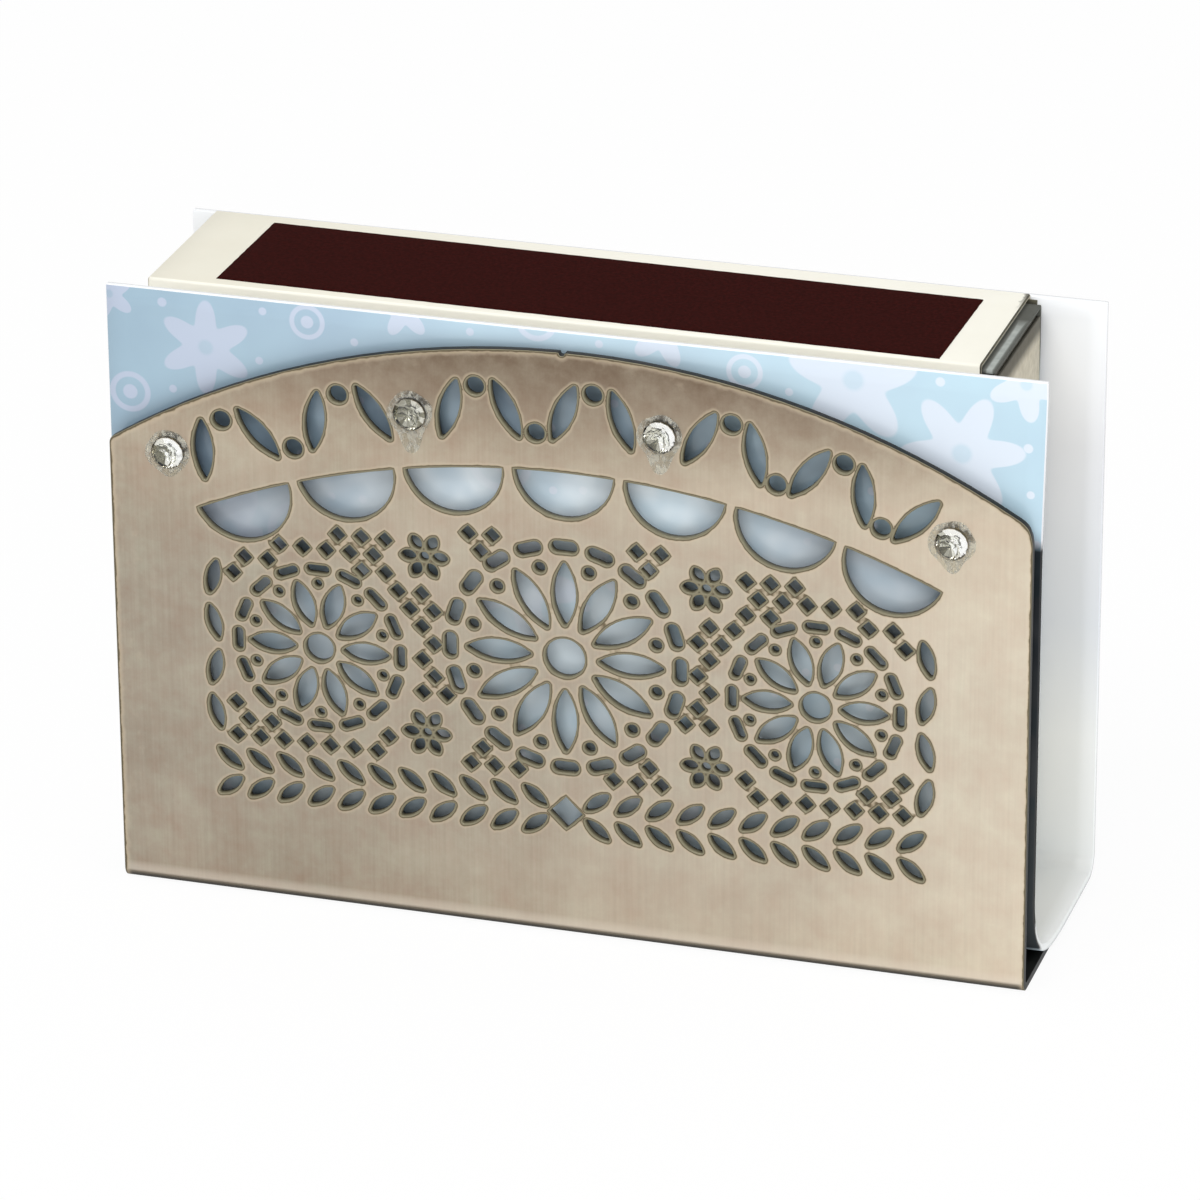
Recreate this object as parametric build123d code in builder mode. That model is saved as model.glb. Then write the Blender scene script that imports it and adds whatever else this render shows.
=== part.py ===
"""Matchbox holder: a printed sheet folded into an open trough, a pierced steel front
folded under it, four round crystals, and the matchbox that stands in the trough.

Millimetres. X runs along the holder, Y from its front to its back, Z up.
The origin is under the middle of the whole object, on the surface that it stands on.
"""

import os
from math import asin, cos, degrees, radians, sin, sqrt

from build123d import *

os.makedirs("parts", exist_ok=True)

# Printed liner: one sheet folded into a U, open at the top and at both ends
liner_width = 120.0
holder_depth = 34.4
holder_height = 80.6
back_wall_height = 79.3
liner_thickness = 1.0
liner_front_bend = 10.5
liner_back_bend = 3.0

# Pierced steel plate: an arched front folded under the liner
plate_width = 118.8
plate_thickness = 1.0
plate_gap = 1.2
plate_bend = 1.6
plate_shoulder_height = 61.6
plate_crown_height = 78.8
plate_arch_shift = 1.0
plate_left_corner_radius = 1.2
plate_right_corner_radius = 4.0

# Double-sided tape between the steel floor and the liner floor
tape_thickness = 0.2
tape_edge_margin = 2.0

# Crystals in their beds of clear glue
bed_radius = 2.8
bed_height = 0.4
bed_edge_chamfer = 0.25
crystal_radius = 2.1
crystal_girdle_height = 0.5
crystal_crown_height = 1.3
crystal_facets = 12
crystal_crown_taper = 38.0
crystal_place_shares = ((-0.867, 0.762), (-0.33, 0.873), (0.209, 0.88), (0.828, 0.757))

# Pierced field below the inner arch, and the band above it
field_half_width = 48.5
field_base_height = 13.5
band_height = 15.8
inner_rise_share = 0.61
opening_tip_radius = 0.25
leaf_tip_share = 0.17

# Matchbox: card sleeve, striking strips and tray
box_length = 107.0
box_height = 76.15
box_depth = 25.2
box_centre_x = -3.1
box_back_clearance = 0.3
box_seat_clearance = 0.15
card_thickness = 0.5
sleeve_edge_radius = 0.4
striker_thickness = 0.15
striker_left_margin = 8.5
striker_right_margin = 5.1
striker_front_margin = 1.15
striker_back_margin = 3.15
striker_turn = -0.85
tray_clearance = 0.4
tray_rest_shift = 1.6

# Matches, heads to the right, piled on the lower long wall of the tray
match_length = 100.0
stick_side = 2.1
head_diameter = 2.9
head_length = 4.2
head_tip = 0.8
match_clearance = 0.12
match_rows = 10

# Overrun of every cut past the face that it leaves
overrun = 1.0

# Places worked out from the sizes above
stone_proud = bed_height + crystal_girdle_height + crystal_crown_height
overall_depth = holder_depth + stone_proud
plate_face_y = stone_proud - overall_depth / 2
back_face_y = overall_depth / 2
liner_face_y = plate_face_y + plate_thickness + plate_gap
liner_base_z = plate_thickness + tape_thickness
liner_floor_z = liner_base_z + liner_thickness
liner_floor_start_y = liner_face_y + liner_front_bend
liner_floor_end_y = back_face_y - liner_back_bend

box_back_y = back_face_y - liner_thickness - box_back_clearance
box_centre_y = box_back_y - box_depth / 2
box_front_room = box_back_y - box_depth - liner_face_y - liner_thickness
bend_inner_radius = liner_front_bend - liner_thickness
bend_reach = max(0, bend_inner_radius - box_front_room)
bend_rise = bend_inner_radius - sqrt(bend_inner_radius**2 - bend_reach**2)
box_base_z = liner_floor_z + bend_rise + max(box_seat_clearance, striker_thickness)
box_centre_z = box_base_z + box_height / 2

field_crown_height = plate_crown_height - band_height
field_shoulder_height = field_crown_height - inner_rise_share * (plate_crown_height - plate_shoulder_height)
field_height = field_crown_height - field_base_height

plate_front = Plane.XZ.offset(-plate_face_y)


def arc_through(half_width, shoulder, crown):
    """Radius and centre height of the arc from shoulder to crown to shoulder."""
    rise = crown - shoulder
    radius = (half_width**2 + rise**2) / (2 * rise)
    return radius, crown - radius


outer_arch_radius, outer_arch_centre = arc_through(plate_width / 2, plate_shoulder_height, plate_crown_height)
inner_arch_radius, inner_arch_centre = arc_through(field_half_width, field_shoulder_height, field_crown_height)
band_radius = (outer_arch_radius + inner_arch_radius) / 2
band_centre = (outer_arch_centre + inner_arch_centre) / 2


def arch_height(across):
    """Height of the plate's arch at a distance to the right of its middle."""
    return outer_arch_centre + sqrt(outer_arch_radius**2 - (across - plate_arch_shift) ** 2)


def on_arc(radius, centre_height, angle):
    """Point of the front at an angle from the top of an arc, clockwise."""
    return radius * sin(radians(angle)), centre_height + radius * cos(radians(angle))


def folded_strip(corners, bend_radii, thickness):
    """Section of a folded sheet whose outer face runs through the corners."""
    with BuildSketch() as strip:
        with BuildLine():
            FilletPolyline(*corners, radius=bend_radii)
            offset(amount=thickness, side=Side.LEFT)
        make_face()
    return strip.sketch


def leaf(length, width):
    """Pointed leaf with eased tips, lying along X."""
    with BuildSketch() as opening:
        with BuildLine():
            ThreePointArc((-length / 2, 0), (0, width / 2), (length / 2, 0))
            ThreePointArc((length / 2, 0), (0, -width / 2), (-length / 2, 0))
        make_face()
        fillet(opening.vertices(), radius=min(opening_tip_radius, leaf_tip_share * width))
    return opening.sketch


# Openings of the pierced plate: sizes are shares of the field that they fill

band_leaf_shares = (0.175, 0.053)
band_leaf_tilt = 22.0
band_dot_share = 0.024
band_dot_place_share = 0.06
band_leaves_per_bay = (4, 4, 5)
band_stone_margin = 5.0

swag_count = 7
swag_drop_share = 0.122
swag_bridge = 1.6

petal_root_share = 0.27
petal_tip_share = 0.83
petal_width_share = 0.19
hub_share = 0.165
ring_share = 0.955
ring_slot_height_share = 0.1
ring_slot_fill_share = 0.72
petal_dot_place_share = 0.785
petal_dot_share = 0.045

large_rosette_radius_share = 0.322
large_rosette_height_share = 0.5
side_rosette_radius_share = 0.231
side_rosette_place_shares = (0.664, 0.447)
small_flower_radius_share = 0.077
large_rosette_petals, large_rosette_slots = 12, 20
side_rosette_petals, side_rosette_slots = 10, 16
small_flower_petals = 6
small_flower_place_shares = ((0.375, 0.247), (0.375, 0.732))

ear_rows_shares = (0.033, 0.11)
ear_pitch_share = 0.0835
ear_leaf_shares = (0.087, 0.033)
ear_leaf_tilt = 40.0
ear_diamond_share = 0.045

column_place_share = 0.952
column_leaf_shares = (0.105, 0.037)
column_height_shares = (0.235, 0.36, 0.485, 0.61)
column_tilt = 14.0

net_pitch_shares = (0.064, 0.046)
net_lozenge_share = 0.0215
net_margin = 1.3


def width_share(share):
    """Length of the front that a share of the field's half width gives."""
    return share * field_half_width


def height_share(share):
    """Height on the front that a share of the field's height gives."""
    return field_base_height + share * field_height


def cut_rosette(places, radius, petals, slots):
    """Add rosettes to the open sketch: hub, petals, dots and a ring of slots."""
    petal_length = (petal_tip_share - petal_root_share) * radius
    petal_middle = (petal_tip_share + petal_root_share) / 2 * radius
    slot_pitch = 2 * ring_share * radius * sin(radians(180 / max(slots, 1)))
    with Locations(*places):
        Circle(hub_share * radius)
        with PolarLocations(petal_middle, petals):
            add(leaf(petal_length, petal_width_share * radius * large_rosette_petals / petals))
        if slots:
            with PolarLocations(petal_dot_place_share * radius, petals, start_angle=180 / petals):
                Circle(petal_dot_share * radius)
            with PolarLocations(ring_share * radius, slots):
                SlotOverall(ring_slot_fill_share * slot_pitch, ring_slot_height_share * radius, rotation=90)


def cut_band():
    """Add the zigzag of leaves between the crystals to the open sketch."""
    stone_angles = [
        degrees(asin(across * plate_width / 2 / band_radius)) for across, up in crystal_place_shares
    ]
    margin = degrees(band_stone_margin / band_radius)
    leaves, dots = [], []
    for bay, count in enumerate(band_leaves_per_bay):
        start = stone_angles[bay] + margin
        step = (stone_angles[bay + 1] - margin - start) / (count - 1)
        for number in range(count):
            angle = start + number * step
            lean = band_leaf_tilt if number % 2 else -band_leaf_tilt
            leaves.append(Location(on_arc(band_radius, band_centre, angle), 90 - angle + lean))
            if number < count - 1:
                side = 1 if number % 2 else -1
                dot_radius = band_radius - side * width_share(band_dot_place_share)
                dots.append(Location(on_arc(dot_radius, band_centre, angle + step / 2)))
    with Locations(*leaves):
        add(leaf(*(width_share(share) for share in band_leaf_shares)))
    with Locations(*dots):
        Circle(width_share(band_dot_share))


def swag(angle, half_angle, drop):
    """Crescent under the inner arch, centred at an angle from the arch's top."""
    first, last = (on_arc(inner_arch_radius, inner_arch_centre, angle + side * half_angle) for side in (-1, 1))
    with BuildSketch() as opening:
        with BuildLine():
            ThreePointArc(first, on_arc(inner_arch_radius, inner_arch_centre, angle), last)
            ThreePointArc(last, on_arc(inner_arch_radius - drop, inner_arch_centre, angle), first)
        make_face()
    return opening.sketch


def cut_swags():
    """Add the row of crescents that hangs from the inner arch to the open sketch."""
    reach = degrees(asin(field_half_width / inner_arch_radius))
    pitch = 2 * reach / swag_count
    half_angle = (pitch - degrees(swag_bridge / inner_arch_radius)) / 2
    for number in range(swag_count):
        add(swag((number + 0.5) * pitch - reach, half_angle, swag_drop_share * field_height))


def cut_ears():
    """Add the two ears of small leaves that run outwards along the foot."""
    upper = height_share(ear_rows_shares[1])
    lower = height_share(ear_rows_shares[0])
    pitch = width_share(ear_pitch_share)
    count = int((field_half_width - width_share(ear_leaf_shares[0]) / 2) / pitch)
    places = []
    for number in range(1, count + 1):
        for side in (-1, 1):
            across = side * number * pitch
            places.append(Location((across, upper), side * ear_leaf_tilt))
            places.append(Location((across, lower), -side * ear_leaf_tilt))
    with Locations(*places):
        add(leaf(*(width_share(share) for share in ear_leaf_shares)))
    with Locations((0, (upper + lower) / 2)):
        RegularPolygon(width_share(ear_diamond_share), 4)


def cut_columns():
    """Add the upright leaves at both ends of the field to the open sketch."""
    leaves = []
    for side in (-1, 1):
        for number, share in enumerate(column_height_shares):
            lean = column_tilt if number % 2 else -column_tilt
            place = (side * width_share(column_place_share), height_share(share))
            leaves.append(Location(place, 90 + side * lean))
    with Locations(*leaves):
        add(leaf(*(width_share(share) for share in column_leaf_shares)))


def net_places(kept_clear):
    """Places of a staggered net that fills the field around circles (across, up, radius)."""
    across_pitch, up_pitch = (width_share(share) for share in net_pitch_shares)
    foot = height_share(ear_rows_shares[1]) + width_share(ear_leaf_shares[0]) / 2 + net_margin
    ceiling_radius = inner_arch_radius - swag_drop_share * field_height - net_margin
    reach = width_share(column_place_share) - net_margin - width_share(net_lozenge_share)
    places = []
    for row in range(int(field_height / up_pitch)):
        up = foot + row * up_pitch
        for column in range(-int(reach / across_pitch) - 1, int(reach / across_pitch) + 2):
            across = (column + 0.5 * (row % 2)) * across_pitch
            under_ceiling = sqrt(across**2 + (up - inner_arch_centre) ** 2) < ceiling_radius
            clear = all(
                sqrt((across - clear_across) ** 2 + (up - clear_up) ** 2) > clear_radius + net_margin
                for clear_across, clear_up, clear_radius in kept_clear
            )
            if abs(across) < reach and under_ceiling and clear:
                places.append((across, up))
    return places


# Printed liner

with BuildPart() as printed_liner:
    with BuildSketch(Plane.YZ.offset(-liner_width / 2)):
        add(
            folded_strip(
                (
                    (liner_face_y, holder_height),
                    (liner_face_y, liner_base_z),
                    (back_face_y, liner_base_z),
                    (back_face_y, back_wall_height),
                ),
                (liner_front_bend, liner_back_bend),
                liner_thickness,
            )
        )
    extrude(amount=liner_width)

# Pierced plate: folded first, then arched, then pierced

rosette_scale = min(field_half_width, field_height)
large_radius = large_rosette_radius_share * rosette_scale
side_radius = side_rosette_radius_share * rosette_scale
flower_radius = small_flower_radius_share * rosette_scale
large_places = [(0, height_share(large_rosette_height_share))]
side_places = [
    (side * width_share(side_rosette_place_shares[0]), height_share(side_rosette_place_shares[1]))
    for side in (-1, 1)
]
flower_places = [
    (side * width_share(across), height_share(up))
    for across, up in small_flower_place_shares
    for side in (-1, 1)
]
rosette_circles = [
    (across, up, radius)
    for places, radius in (
        (large_places, large_radius),
        (side_places, side_radius),
        (flower_places, flower_radius),
    )
    for across, up in places
]

with BuildPart() as pierced_plate:
    with BuildSketch(Plane.YZ.offset(-plate_width / 2)):
        add(
            folded_strip(
                (
                    (plate_face_y, plate_crown_height),
                    (plate_face_y, 0),
                    (back_face_y, 0),
                ),
                plate_bend,
                plate_thickness,
            )
        )
    extrude(amount=plate_width)
    with BuildSketch(plate_front.offset(overrun)):
        with BuildLine():
            left = (-plate_width / 2, arch_height(-plate_width / 2))
            right = (plate_width / 2, arch_height(plate_width / 2))
            ThreePointArc(left, (plate_arch_shift, plate_crown_height), right)
            Polyline(
                right,
                (plate_width / 2, plate_crown_height + overrun),
                (-plate_width / 2, plate_crown_height + overrun),
                left,
            )
        make_face()
    extrude(amount=-(plate_thickness + 2 * overrun), mode=Mode.SUBTRACT)
    for side, corner_radius in ((-1, plate_left_corner_radius), (1, plate_right_corner_radius)):
        edges_along_y = pierced_plate.edges().filter_by(Axis.Y)
        edges_on_side = edges_along_y.filter_by(lambda edge: edge.center().X * side > 0)
        fillet(edges_on_side.sort_by(Axis.Z)[-1], radius=corner_radius)
    with BuildSketch(plate_front) as plate_openings:
        cut_band()
        cut_swags()
        cut_rosette(large_places, large_radius, large_rosette_petals, large_rosette_slots)
        cut_rosette(side_places, side_radius, side_rosette_petals, side_rosette_slots)
        cut_rosette(flower_places, flower_radius, small_flower_petals, 0)
        cut_ears()
        cut_columns()
        with Locations(*net_places(rosette_circles)):
            RegularPolygon(width_share(net_lozenge_share), 4)
    extrude(amount=-plate_thickness, mode=Mode.SUBTRACT)

# Tape between the two floors

with BuildPart() as bonding_tape:
    with BuildSketch(Plane.XY.offset(plate_thickness)):
        with Locations((0, (liner_floor_start_y + liner_floor_end_y) / 2)):
            Rectangle(plate_width - 2 * tape_edge_margin, liner_floor_end_y - liner_floor_start_y)
    extrude(amount=tape_thickness)

# Crystals and glue beds

crystal_places = [
    (across * plate_width / 2, up * plate_crown_height) for across, up in crystal_place_shares
]
glue_beds, crystals = [], []
for number, place in enumerate(crystal_places, start=1):
    with BuildPart() as glue_bed:
        with BuildSketch(plate_front):
            with Locations(place):
                Circle(bed_radius)
        extrude(amount=bed_height)
        chamfer(glue_bed.faces().sort_by(Axis.Y)[0].edges(), length=bed_edge_chamfer)
    glue_bed.part.label = f"glue_bed_{number}"
    glue_beds.append(glue_bed.part)

    with BuildPart() as crystal:
        with BuildSketch(plate_front.offset(bed_height)):
            with Locations(place):
                RegularPolygon(crystal_radius, crystal_facets)
        extrude(amount=crystal_girdle_height)
        with BuildSketch(plate_front.offset(bed_height + crystal_girdle_height)):
            with Locations(place):
                RegularPolygon(crystal_radius, crystal_facets)
        extrude(amount=crystal_crown_height, taper=crystal_crown_taper)
    crystal.part.label = f"crystal_{number}"
    crystals.append(crystal.part)

# Matchbox sleeve: a flat tube of card, open at both ends

with BuildPart() as matchbox_sleeve:
    with BuildSketch(Plane.YZ.offset(box_centre_x - box_length / 2)) as sleeve_section:
        with Locations((box_centre_y, box_centre_z)):
            RectangleRounded(box_depth, box_height, sleeve_edge_radius)
            Rectangle(box_depth - 2 * card_thickness, box_height - 2 * card_thickness, mode=Mode.SUBTRACT)
    extrude(amount=box_length)

# Striking strips on the two long narrow sides of the sleeve

striker_length = box_length - striker_left_margin - striker_right_margin
striker_width = box_depth - striker_front_margin - striker_back_margin
striker_centre = (
    box_centre_x + (striker_left_margin - striker_right_margin) / 2,
    box_centre_y + (striker_front_margin - striker_back_margin) / 2,
)

with BuildPart() as upper_striker:
    with BuildSketch(Plane.XY.offset(box_base_z + box_height)):
        with Locations(striker_centre):
            Rectangle(striker_length, striker_width, rotation=striker_turn)
    extrude(amount=striker_thickness)

with BuildPart() as lower_striker:
    with BuildSketch(Plane.XY.offset(box_base_z)):
        with Locations(striker_centre):
            Rectangle(striker_length, striker_width, rotation=striker_turn)
    extrude(amount=-striker_thickness)

# Matchbox tray: its open side faces the front of the holder

tray_depth = box_depth - 2 * card_thickness - 2 * tray_clearance
tray_height = box_height - 2 * card_thickness - 2 * tray_clearance
tray_centre_x = box_centre_x + tray_rest_shift
tray_mouth_y = box_centre_y - tray_depth / 2
tray_base_z = box_centre_z - tray_height / 2

with BuildPart() as matchbox_tray:
    with BuildSketch(Plane.XZ.offset(-tray_mouth_y)):
        with Locations((tray_centre_x, box_centre_z)):
            Rectangle(box_length, tray_height)
    extrude(amount=-tray_depth)
    with BuildSketch(Plane.XZ.offset(-tray_mouth_y)):
        with Locations((tray_centre_x, box_centre_z)):
            Rectangle(box_length - 2 * card_thickness, tray_height - 2 * card_thickness)
    extrude(amount=-(tray_depth - card_thickness), mode=Mode.SUBTRACT)

# Matches, in columns across the tray and rows up from its lower wall

match_pitch = head_diameter + match_clearance
match_columns = int((tray_depth - card_thickness - match_clearance) / match_pitch)
match_rows_that_fit = int((tray_height - 2 * card_thickness - match_clearance) / match_pitch)
pile_base_z = tray_base_z + card_thickness + match_clearance
pile_back_y = tray_mouth_y + tray_depth - card_thickness - match_clearance
pile_left_x = tray_centre_x - match_length / 2
match_places = [
    (pile_back_y - (column + 0.5) * match_pitch, pile_base_z + (row + 0.5) * match_pitch)
    for row in range(min(match_rows, match_rows_that_fit))
    for column in range(match_columns)
]

with BuildPart() as match_sticks:
    with BuildSketch(Plane.YZ.offset(pile_left_x)):
        with Locations(*match_places):
            Rectangle(stick_side, stick_side)
    extrude(amount=match_length - head_tip)

with BuildPart() as single_head:
    with BuildSketch(Plane.XY):
        with Locations((pile_left_x + match_length - head_length / 2, 0)):
            Ellipse(head_length / 2, head_diameter / 2)
            Rectangle(head_length, head_diameter, align=(Align.CENTER, Align.MAX), mode=Mode.SUBTRACT)
    revolve(axis=Axis.X)
    with BuildSketch(Plane.YZ.offset(pile_left_x + match_length - head_length)):
        Rectangle(stick_side, stick_side)
    extrude(amount=head_length - head_tip, mode=Mode.SUBTRACT)

with BuildPart() as match_heads:
    with Locations(*((0, across, up) for across, up in match_places)):
        add(single_head.part)

# Labels and files

pieces = {
    "printed_liner": printed_liner.part,
    "pierced_plate": pierced_plate.part,
    "bonding_tape": bonding_tape.part,
    "matchbox_sleeve": matchbox_sleeve.part,
    "upper_striker": upper_striker.part,
    "lower_striker": lower_striker.part,
    "matchbox_tray": matchbox_tray.part,
    "match_sticks": match_sticks.part,
    "match_heads": match_heads.part,
}
for piece in glue_beds + crystals:
    pieces[piece.label] = piece

for name, piece in pieces.items():
    piece.label = name
    export_step(piece, f"parts/{name}.step")

print("openings in the plate:", len(plate_openings.faces()))
print("matches:", len(match_places))
print("front room beside the box:", round(box_front_room, 2))
print("box stands above the liner floor by:", round(box_base_z - liner_floor_z, 2))
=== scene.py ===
# %% [markdown]
# # A matchbox holder: looks
# The object is a trough for a kitchen matchbox. One printed sheet is folded into a U,
# a steel plate with a pierced garden pattern is folded under it and stands a little in
# front of it, and four round crystals sit on the plate in clear glue. The matchbox
# stands in the trough with a striking strip up.
#
# The CAD model gives the frame: sizes, places and what moves. The pieces below are
# built again as thin sheets with real cut edges, folds and finishes, in that frame.

from math import cos, pi, radians, sin, sqrt
from random import Random

import bpy
import numpy as np
from mathutils import Matrix, Vector, geometry, kdtree, noise


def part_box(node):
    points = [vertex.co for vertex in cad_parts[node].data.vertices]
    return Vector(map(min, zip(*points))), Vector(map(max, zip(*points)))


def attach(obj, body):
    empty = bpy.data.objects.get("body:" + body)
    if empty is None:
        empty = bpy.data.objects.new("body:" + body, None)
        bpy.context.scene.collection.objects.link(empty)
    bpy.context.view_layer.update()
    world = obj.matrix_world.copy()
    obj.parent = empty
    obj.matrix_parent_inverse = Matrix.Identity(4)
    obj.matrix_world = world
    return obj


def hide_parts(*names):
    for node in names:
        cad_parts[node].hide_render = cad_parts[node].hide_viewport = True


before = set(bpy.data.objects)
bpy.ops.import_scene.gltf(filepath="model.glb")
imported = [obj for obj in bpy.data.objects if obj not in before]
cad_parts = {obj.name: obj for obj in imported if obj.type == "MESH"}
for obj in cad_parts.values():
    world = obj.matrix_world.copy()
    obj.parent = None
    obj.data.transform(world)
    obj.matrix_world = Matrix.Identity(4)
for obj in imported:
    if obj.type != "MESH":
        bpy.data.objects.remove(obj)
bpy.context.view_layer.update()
MM = 0.001


def box_mm(node):
    """Lowest and highest corner of a CAD node, in millimetres."""
    low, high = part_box(node)
    return [value / MM for value in low], [value / MM for value in high]


def rounded(low, high):
    """Corners of a box, short enough to print."""
    return [round(value, 2) for value in (*low, *high)]


# %% [markdown]
# ## Building meshes
# Sheet goods make up this object: painted steel, brushed steel and card. A real sheet
# has two faces and a cut edge whose corners catch the light, so one function folds a
# path into a sheet with a small bevel round its border.

# %% Mesh helpers
def placed_object(name, data):
    """New object in the scene, for a mesh, a lamp or a camera."""
    made = bpy.data.objects.new(name, data)
    bpy.context.scene.collection.objects.link(made)
    return made


def mesh_of(name, points, faces):
    """Flat-shaded mesh from points in millimetres."""
    mesh = bpy.data.meshes.new(name)
    mesh.from_pydata([tuple(value * MM for value in point) for point in points], [], faces)
    mesh.update()
    return mesh


def make_piece(name, points, faces, sharp_angle=50.0):
    """Mesh object from points in millimetres, smooth below the sharp angle."""
    mesh = mesh_of(name, points, faces)
    mesh.shade_smooth()
    mesh.set_sharp_from_angle(angle=radians(sharp_angle))
    return placed_object(name, mesh)


def store_vectors(piece, name, vectors):
    """Writes a vector for each point of a piece, for its shader to read."""
    attribute = piece.data.attributes.new(name, "FLOAT_VECTOR", "POINT")
    attribute.data.foreach_set("vector", np.array(vectors, np.float32).ravel())


def store_values(piece, name, values):
    """Writes a number for each point of a piece, for its shader to read."""
    attribute = piece.data.attributes.new(name, "FLOAT", "POINT")
    attribute.data.foreach_set("value", np.array(values, np.float32))


# %% Paths
def distance_between(here, there):
    return sqrt((there[0] - here[0]) ** 2 + (there[1] - here[1]) ** 2)


def around(loop):
    """Each item of a closed loop with the one after it."""
    return zip(loop, loop[1:] + loop[:1])


def clipped(share):
    return min(max(share, 0.0), 1.0)


def right_normals(points, closed):
    """Mitred normal on the right of each point of a path."""
    count = len(points)
    found = []
    for index, here in enumerate(points):
        sides = []
        if closed or index > 0:
            before = points[(index - 1) % count]
            sides.append((here[1] - before[1], before[0] - here[0]))
        if closed or index < count - 1:
            after = points[(index + 1) % count]
            sides.append((after[1] - here[1], here[0] - after[0]))
        sides = [(x / sqrt(x**2 + y**2), y / sqrt(x**2 + y**2)) for x, y in sides]
        if len(sides) == 1:
            found.append(sides[0])
            continue
        (first_x, first_y), (last_x, last_y) = sides
        reach = max(1 + first_x * last_x + first_y * last_y, 0.5)
        found.append(((first_x + last_x) / reach, (first_y + last_y) / reach))
    return found


def rounded_path(corners, bend_radii, closed=False, steps=8):
    """Corners joined by lines, with an arc of the given radius at each bend."""
    count = len(corners)
    bends = list(bend_radii) if closed else [0] + list(bend_radii) + [0]
    path = []
    for index in range(count):
        here = Vector(corners[index])
        if bends[index] == 0:
            path.append(tuple(here))
            continue
        back = (Vector(corners[index - 1]) - here).normalized()
        on = (Vector(corners[(index + 1) % count]) - here).normalized()
        half = back.angle(on) / 2
        centre = here + (back + on).normalized() * bends[index] / sin(half)
        first = here + back * bends[index] / (sin(half) / cos(half)) - centre
        last = here + on * bends[index] / (sin(half) / cos(half)) - centre
        turn = first.angle_signed(last)
        for step in range(steps + 1):
            angle = -turn * step / steps
            path.append((centre.x + first.x * cos(angle) - first.y * sin(angle),
                         centre.y + first.x * sin(angle) + first.y * cos(angle)))
    return path


def divided(path, longest, closed=False):
    """The path with its long runs divided."""
    ends = path + path[:1] if closed else path
    fine = []
    for here, there in zip(ends, ends[1:]):
        parts = max(1, int(np.ceil(distance_between(here, there) / longest)))
        fine += [(here[0] + (there[0] - here[0]) * part / parts,
                  here[1] + (there[1] - here[1]) * part / parts) for part in range(parts)]
    return fine if closed else fine + [path[-1]]


def even_places(low, high, parts):
    """Places from low to high at even steps."""
    return [low + (high - low) * step / parts for step in range(parts + 1)]


print("a corner with one bend:", len(rounded_path([(0, 0), (9, 0), (9, 9)], (2,))), "points")

# %% Sheets
def with_rims(places, rim):
    """Places along a border-to-border run, with one more a rim's width inside each end."""
    return [places[0], places[0] + rim] + list(places[1:-1]) + [places[-1] - rim, places[-1]]


def folded_sheet(name, path, thickness, sweep, place, rim=0.1, closed=False):
    """Sheet that follows a path and is swept across it.

    The path is the sheet's first face and its thickness lies on the right of it. The
    border is bevelled by the rim. Returns the piece and, for each of its points, the
    distance along the path, across the sheet, and 0 or 1 for the face.
    """
    if not closed:
        first, last = Vector(path[0]), Vector(path[-1])
        start = first + (Vector(path[1]) - first).normalized() * rim
        end = last + (Vector(path[-2]) - last).normalized() * rim
        path = [path[0], tuple(start)] + list(path[1:-1]) + [tuple(end), path[-1]]
    across = with_rims(sweep, rim)
    normals = right_normals(path, closed)
    runs = [0.0]
    for here, there in zip(path, path[1:]):
        runs.append(runs[-1] + distance_between(here, there))
    points, marks, faces = [], [], []
    rows, columns = len(path), len(across)
    for face in (0, 1):
        for row in range(rows):
            for column in range(columns):
                border = column in (0, columns - 1) or (not closed and row in (0, rows - 1))
                inset = rim if border else 0
                depth = inset if face == 0 else thickness - inset
                points.append(place(path[row][0] + normals[row][0] * depth,
                                    path[row][1] + normals[row][1] * depth, across[column]))
                marks.append((runs[row], across[column], 1 if border else face))

    def at(face, row, column):
        return (face * rows + row % rows) * columns + column

    for row in range(rows if closed else rows - 1):
        for column in range(columns - 1):
            faces.append((at(0, row, column), at(0, row + 1, column),
                          at(0, row + 1, column + 1), at(0, row, column + 1)))
            faces.append((at(1, row, column), at(1, row, column + 1),
                          at(1, row + 1, column + 1), at(1, row + 1, column)))
        for column in (0, columns - 1):
            edge = (at(0, row, column), at(1, row, column), at(1, row + 1, column), at(0, row + 1, column))
            faces.append(edge if column == 0 else edge[::-1])
    if not closed:
        for row in (0, rows - 1):
            for column in range(columns - 1):
                edge = (at(0, row, column), at(0, row, column + 1),
                        at(1, row, column + 1), at(1, row, column))
                faces.append(edge if row == 0 else edge[::-1])
    return make_piece(name, points, faces), marks


def along_box(across, up, along):
    """Place of a sheet whose path lies across the holder and whose sweep runs along it."""
    return along, across, up


print("a run of 9 mm with its rims:", with_rims([0.0, 9.0], 0.1))

# %% [markdown]
# ## Finishes
# Each finish is a procedural material. Colours are written as they look in plain
# daylight, and the lamps stay at a level at which they render about as written.

# %% Shader helpers
def tint(red, green, blue):
    """Linear colour from the usual 0 to 255 values."""
    def line(value):
        share = value / 255
        return share / 12.92 if share <= 0.04045 else ((share + 0.055) / 1.055) ** 2.4
    return (line(red), line(green), line(blue), 1.0)


def fill_inputs(tree, sockets, values):
    """Writes each value into its socket, or joins another socket to it."""
    for socket, value in zip(sockets, values):
        if isinstance(value, bpy.types.NodeSocket):
            tree.links.new(value, socket)
        else:
            socket.default_value = value


def new_node(tree, kind, settings=None, inputs=(), **values):
    """New node with settings, and values or links for its inputs, in order or by name."""
    made = tree.nodes.new(kind)
    for key, value in (settings or {}).items():
        setattr(made, key, value)
    fill_inputs(tree, made.inputs, inputs)
    fill_inputs(tree, [made.inputs[key.replace("_", " ")] for key in values], values.values())
    return made


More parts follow.
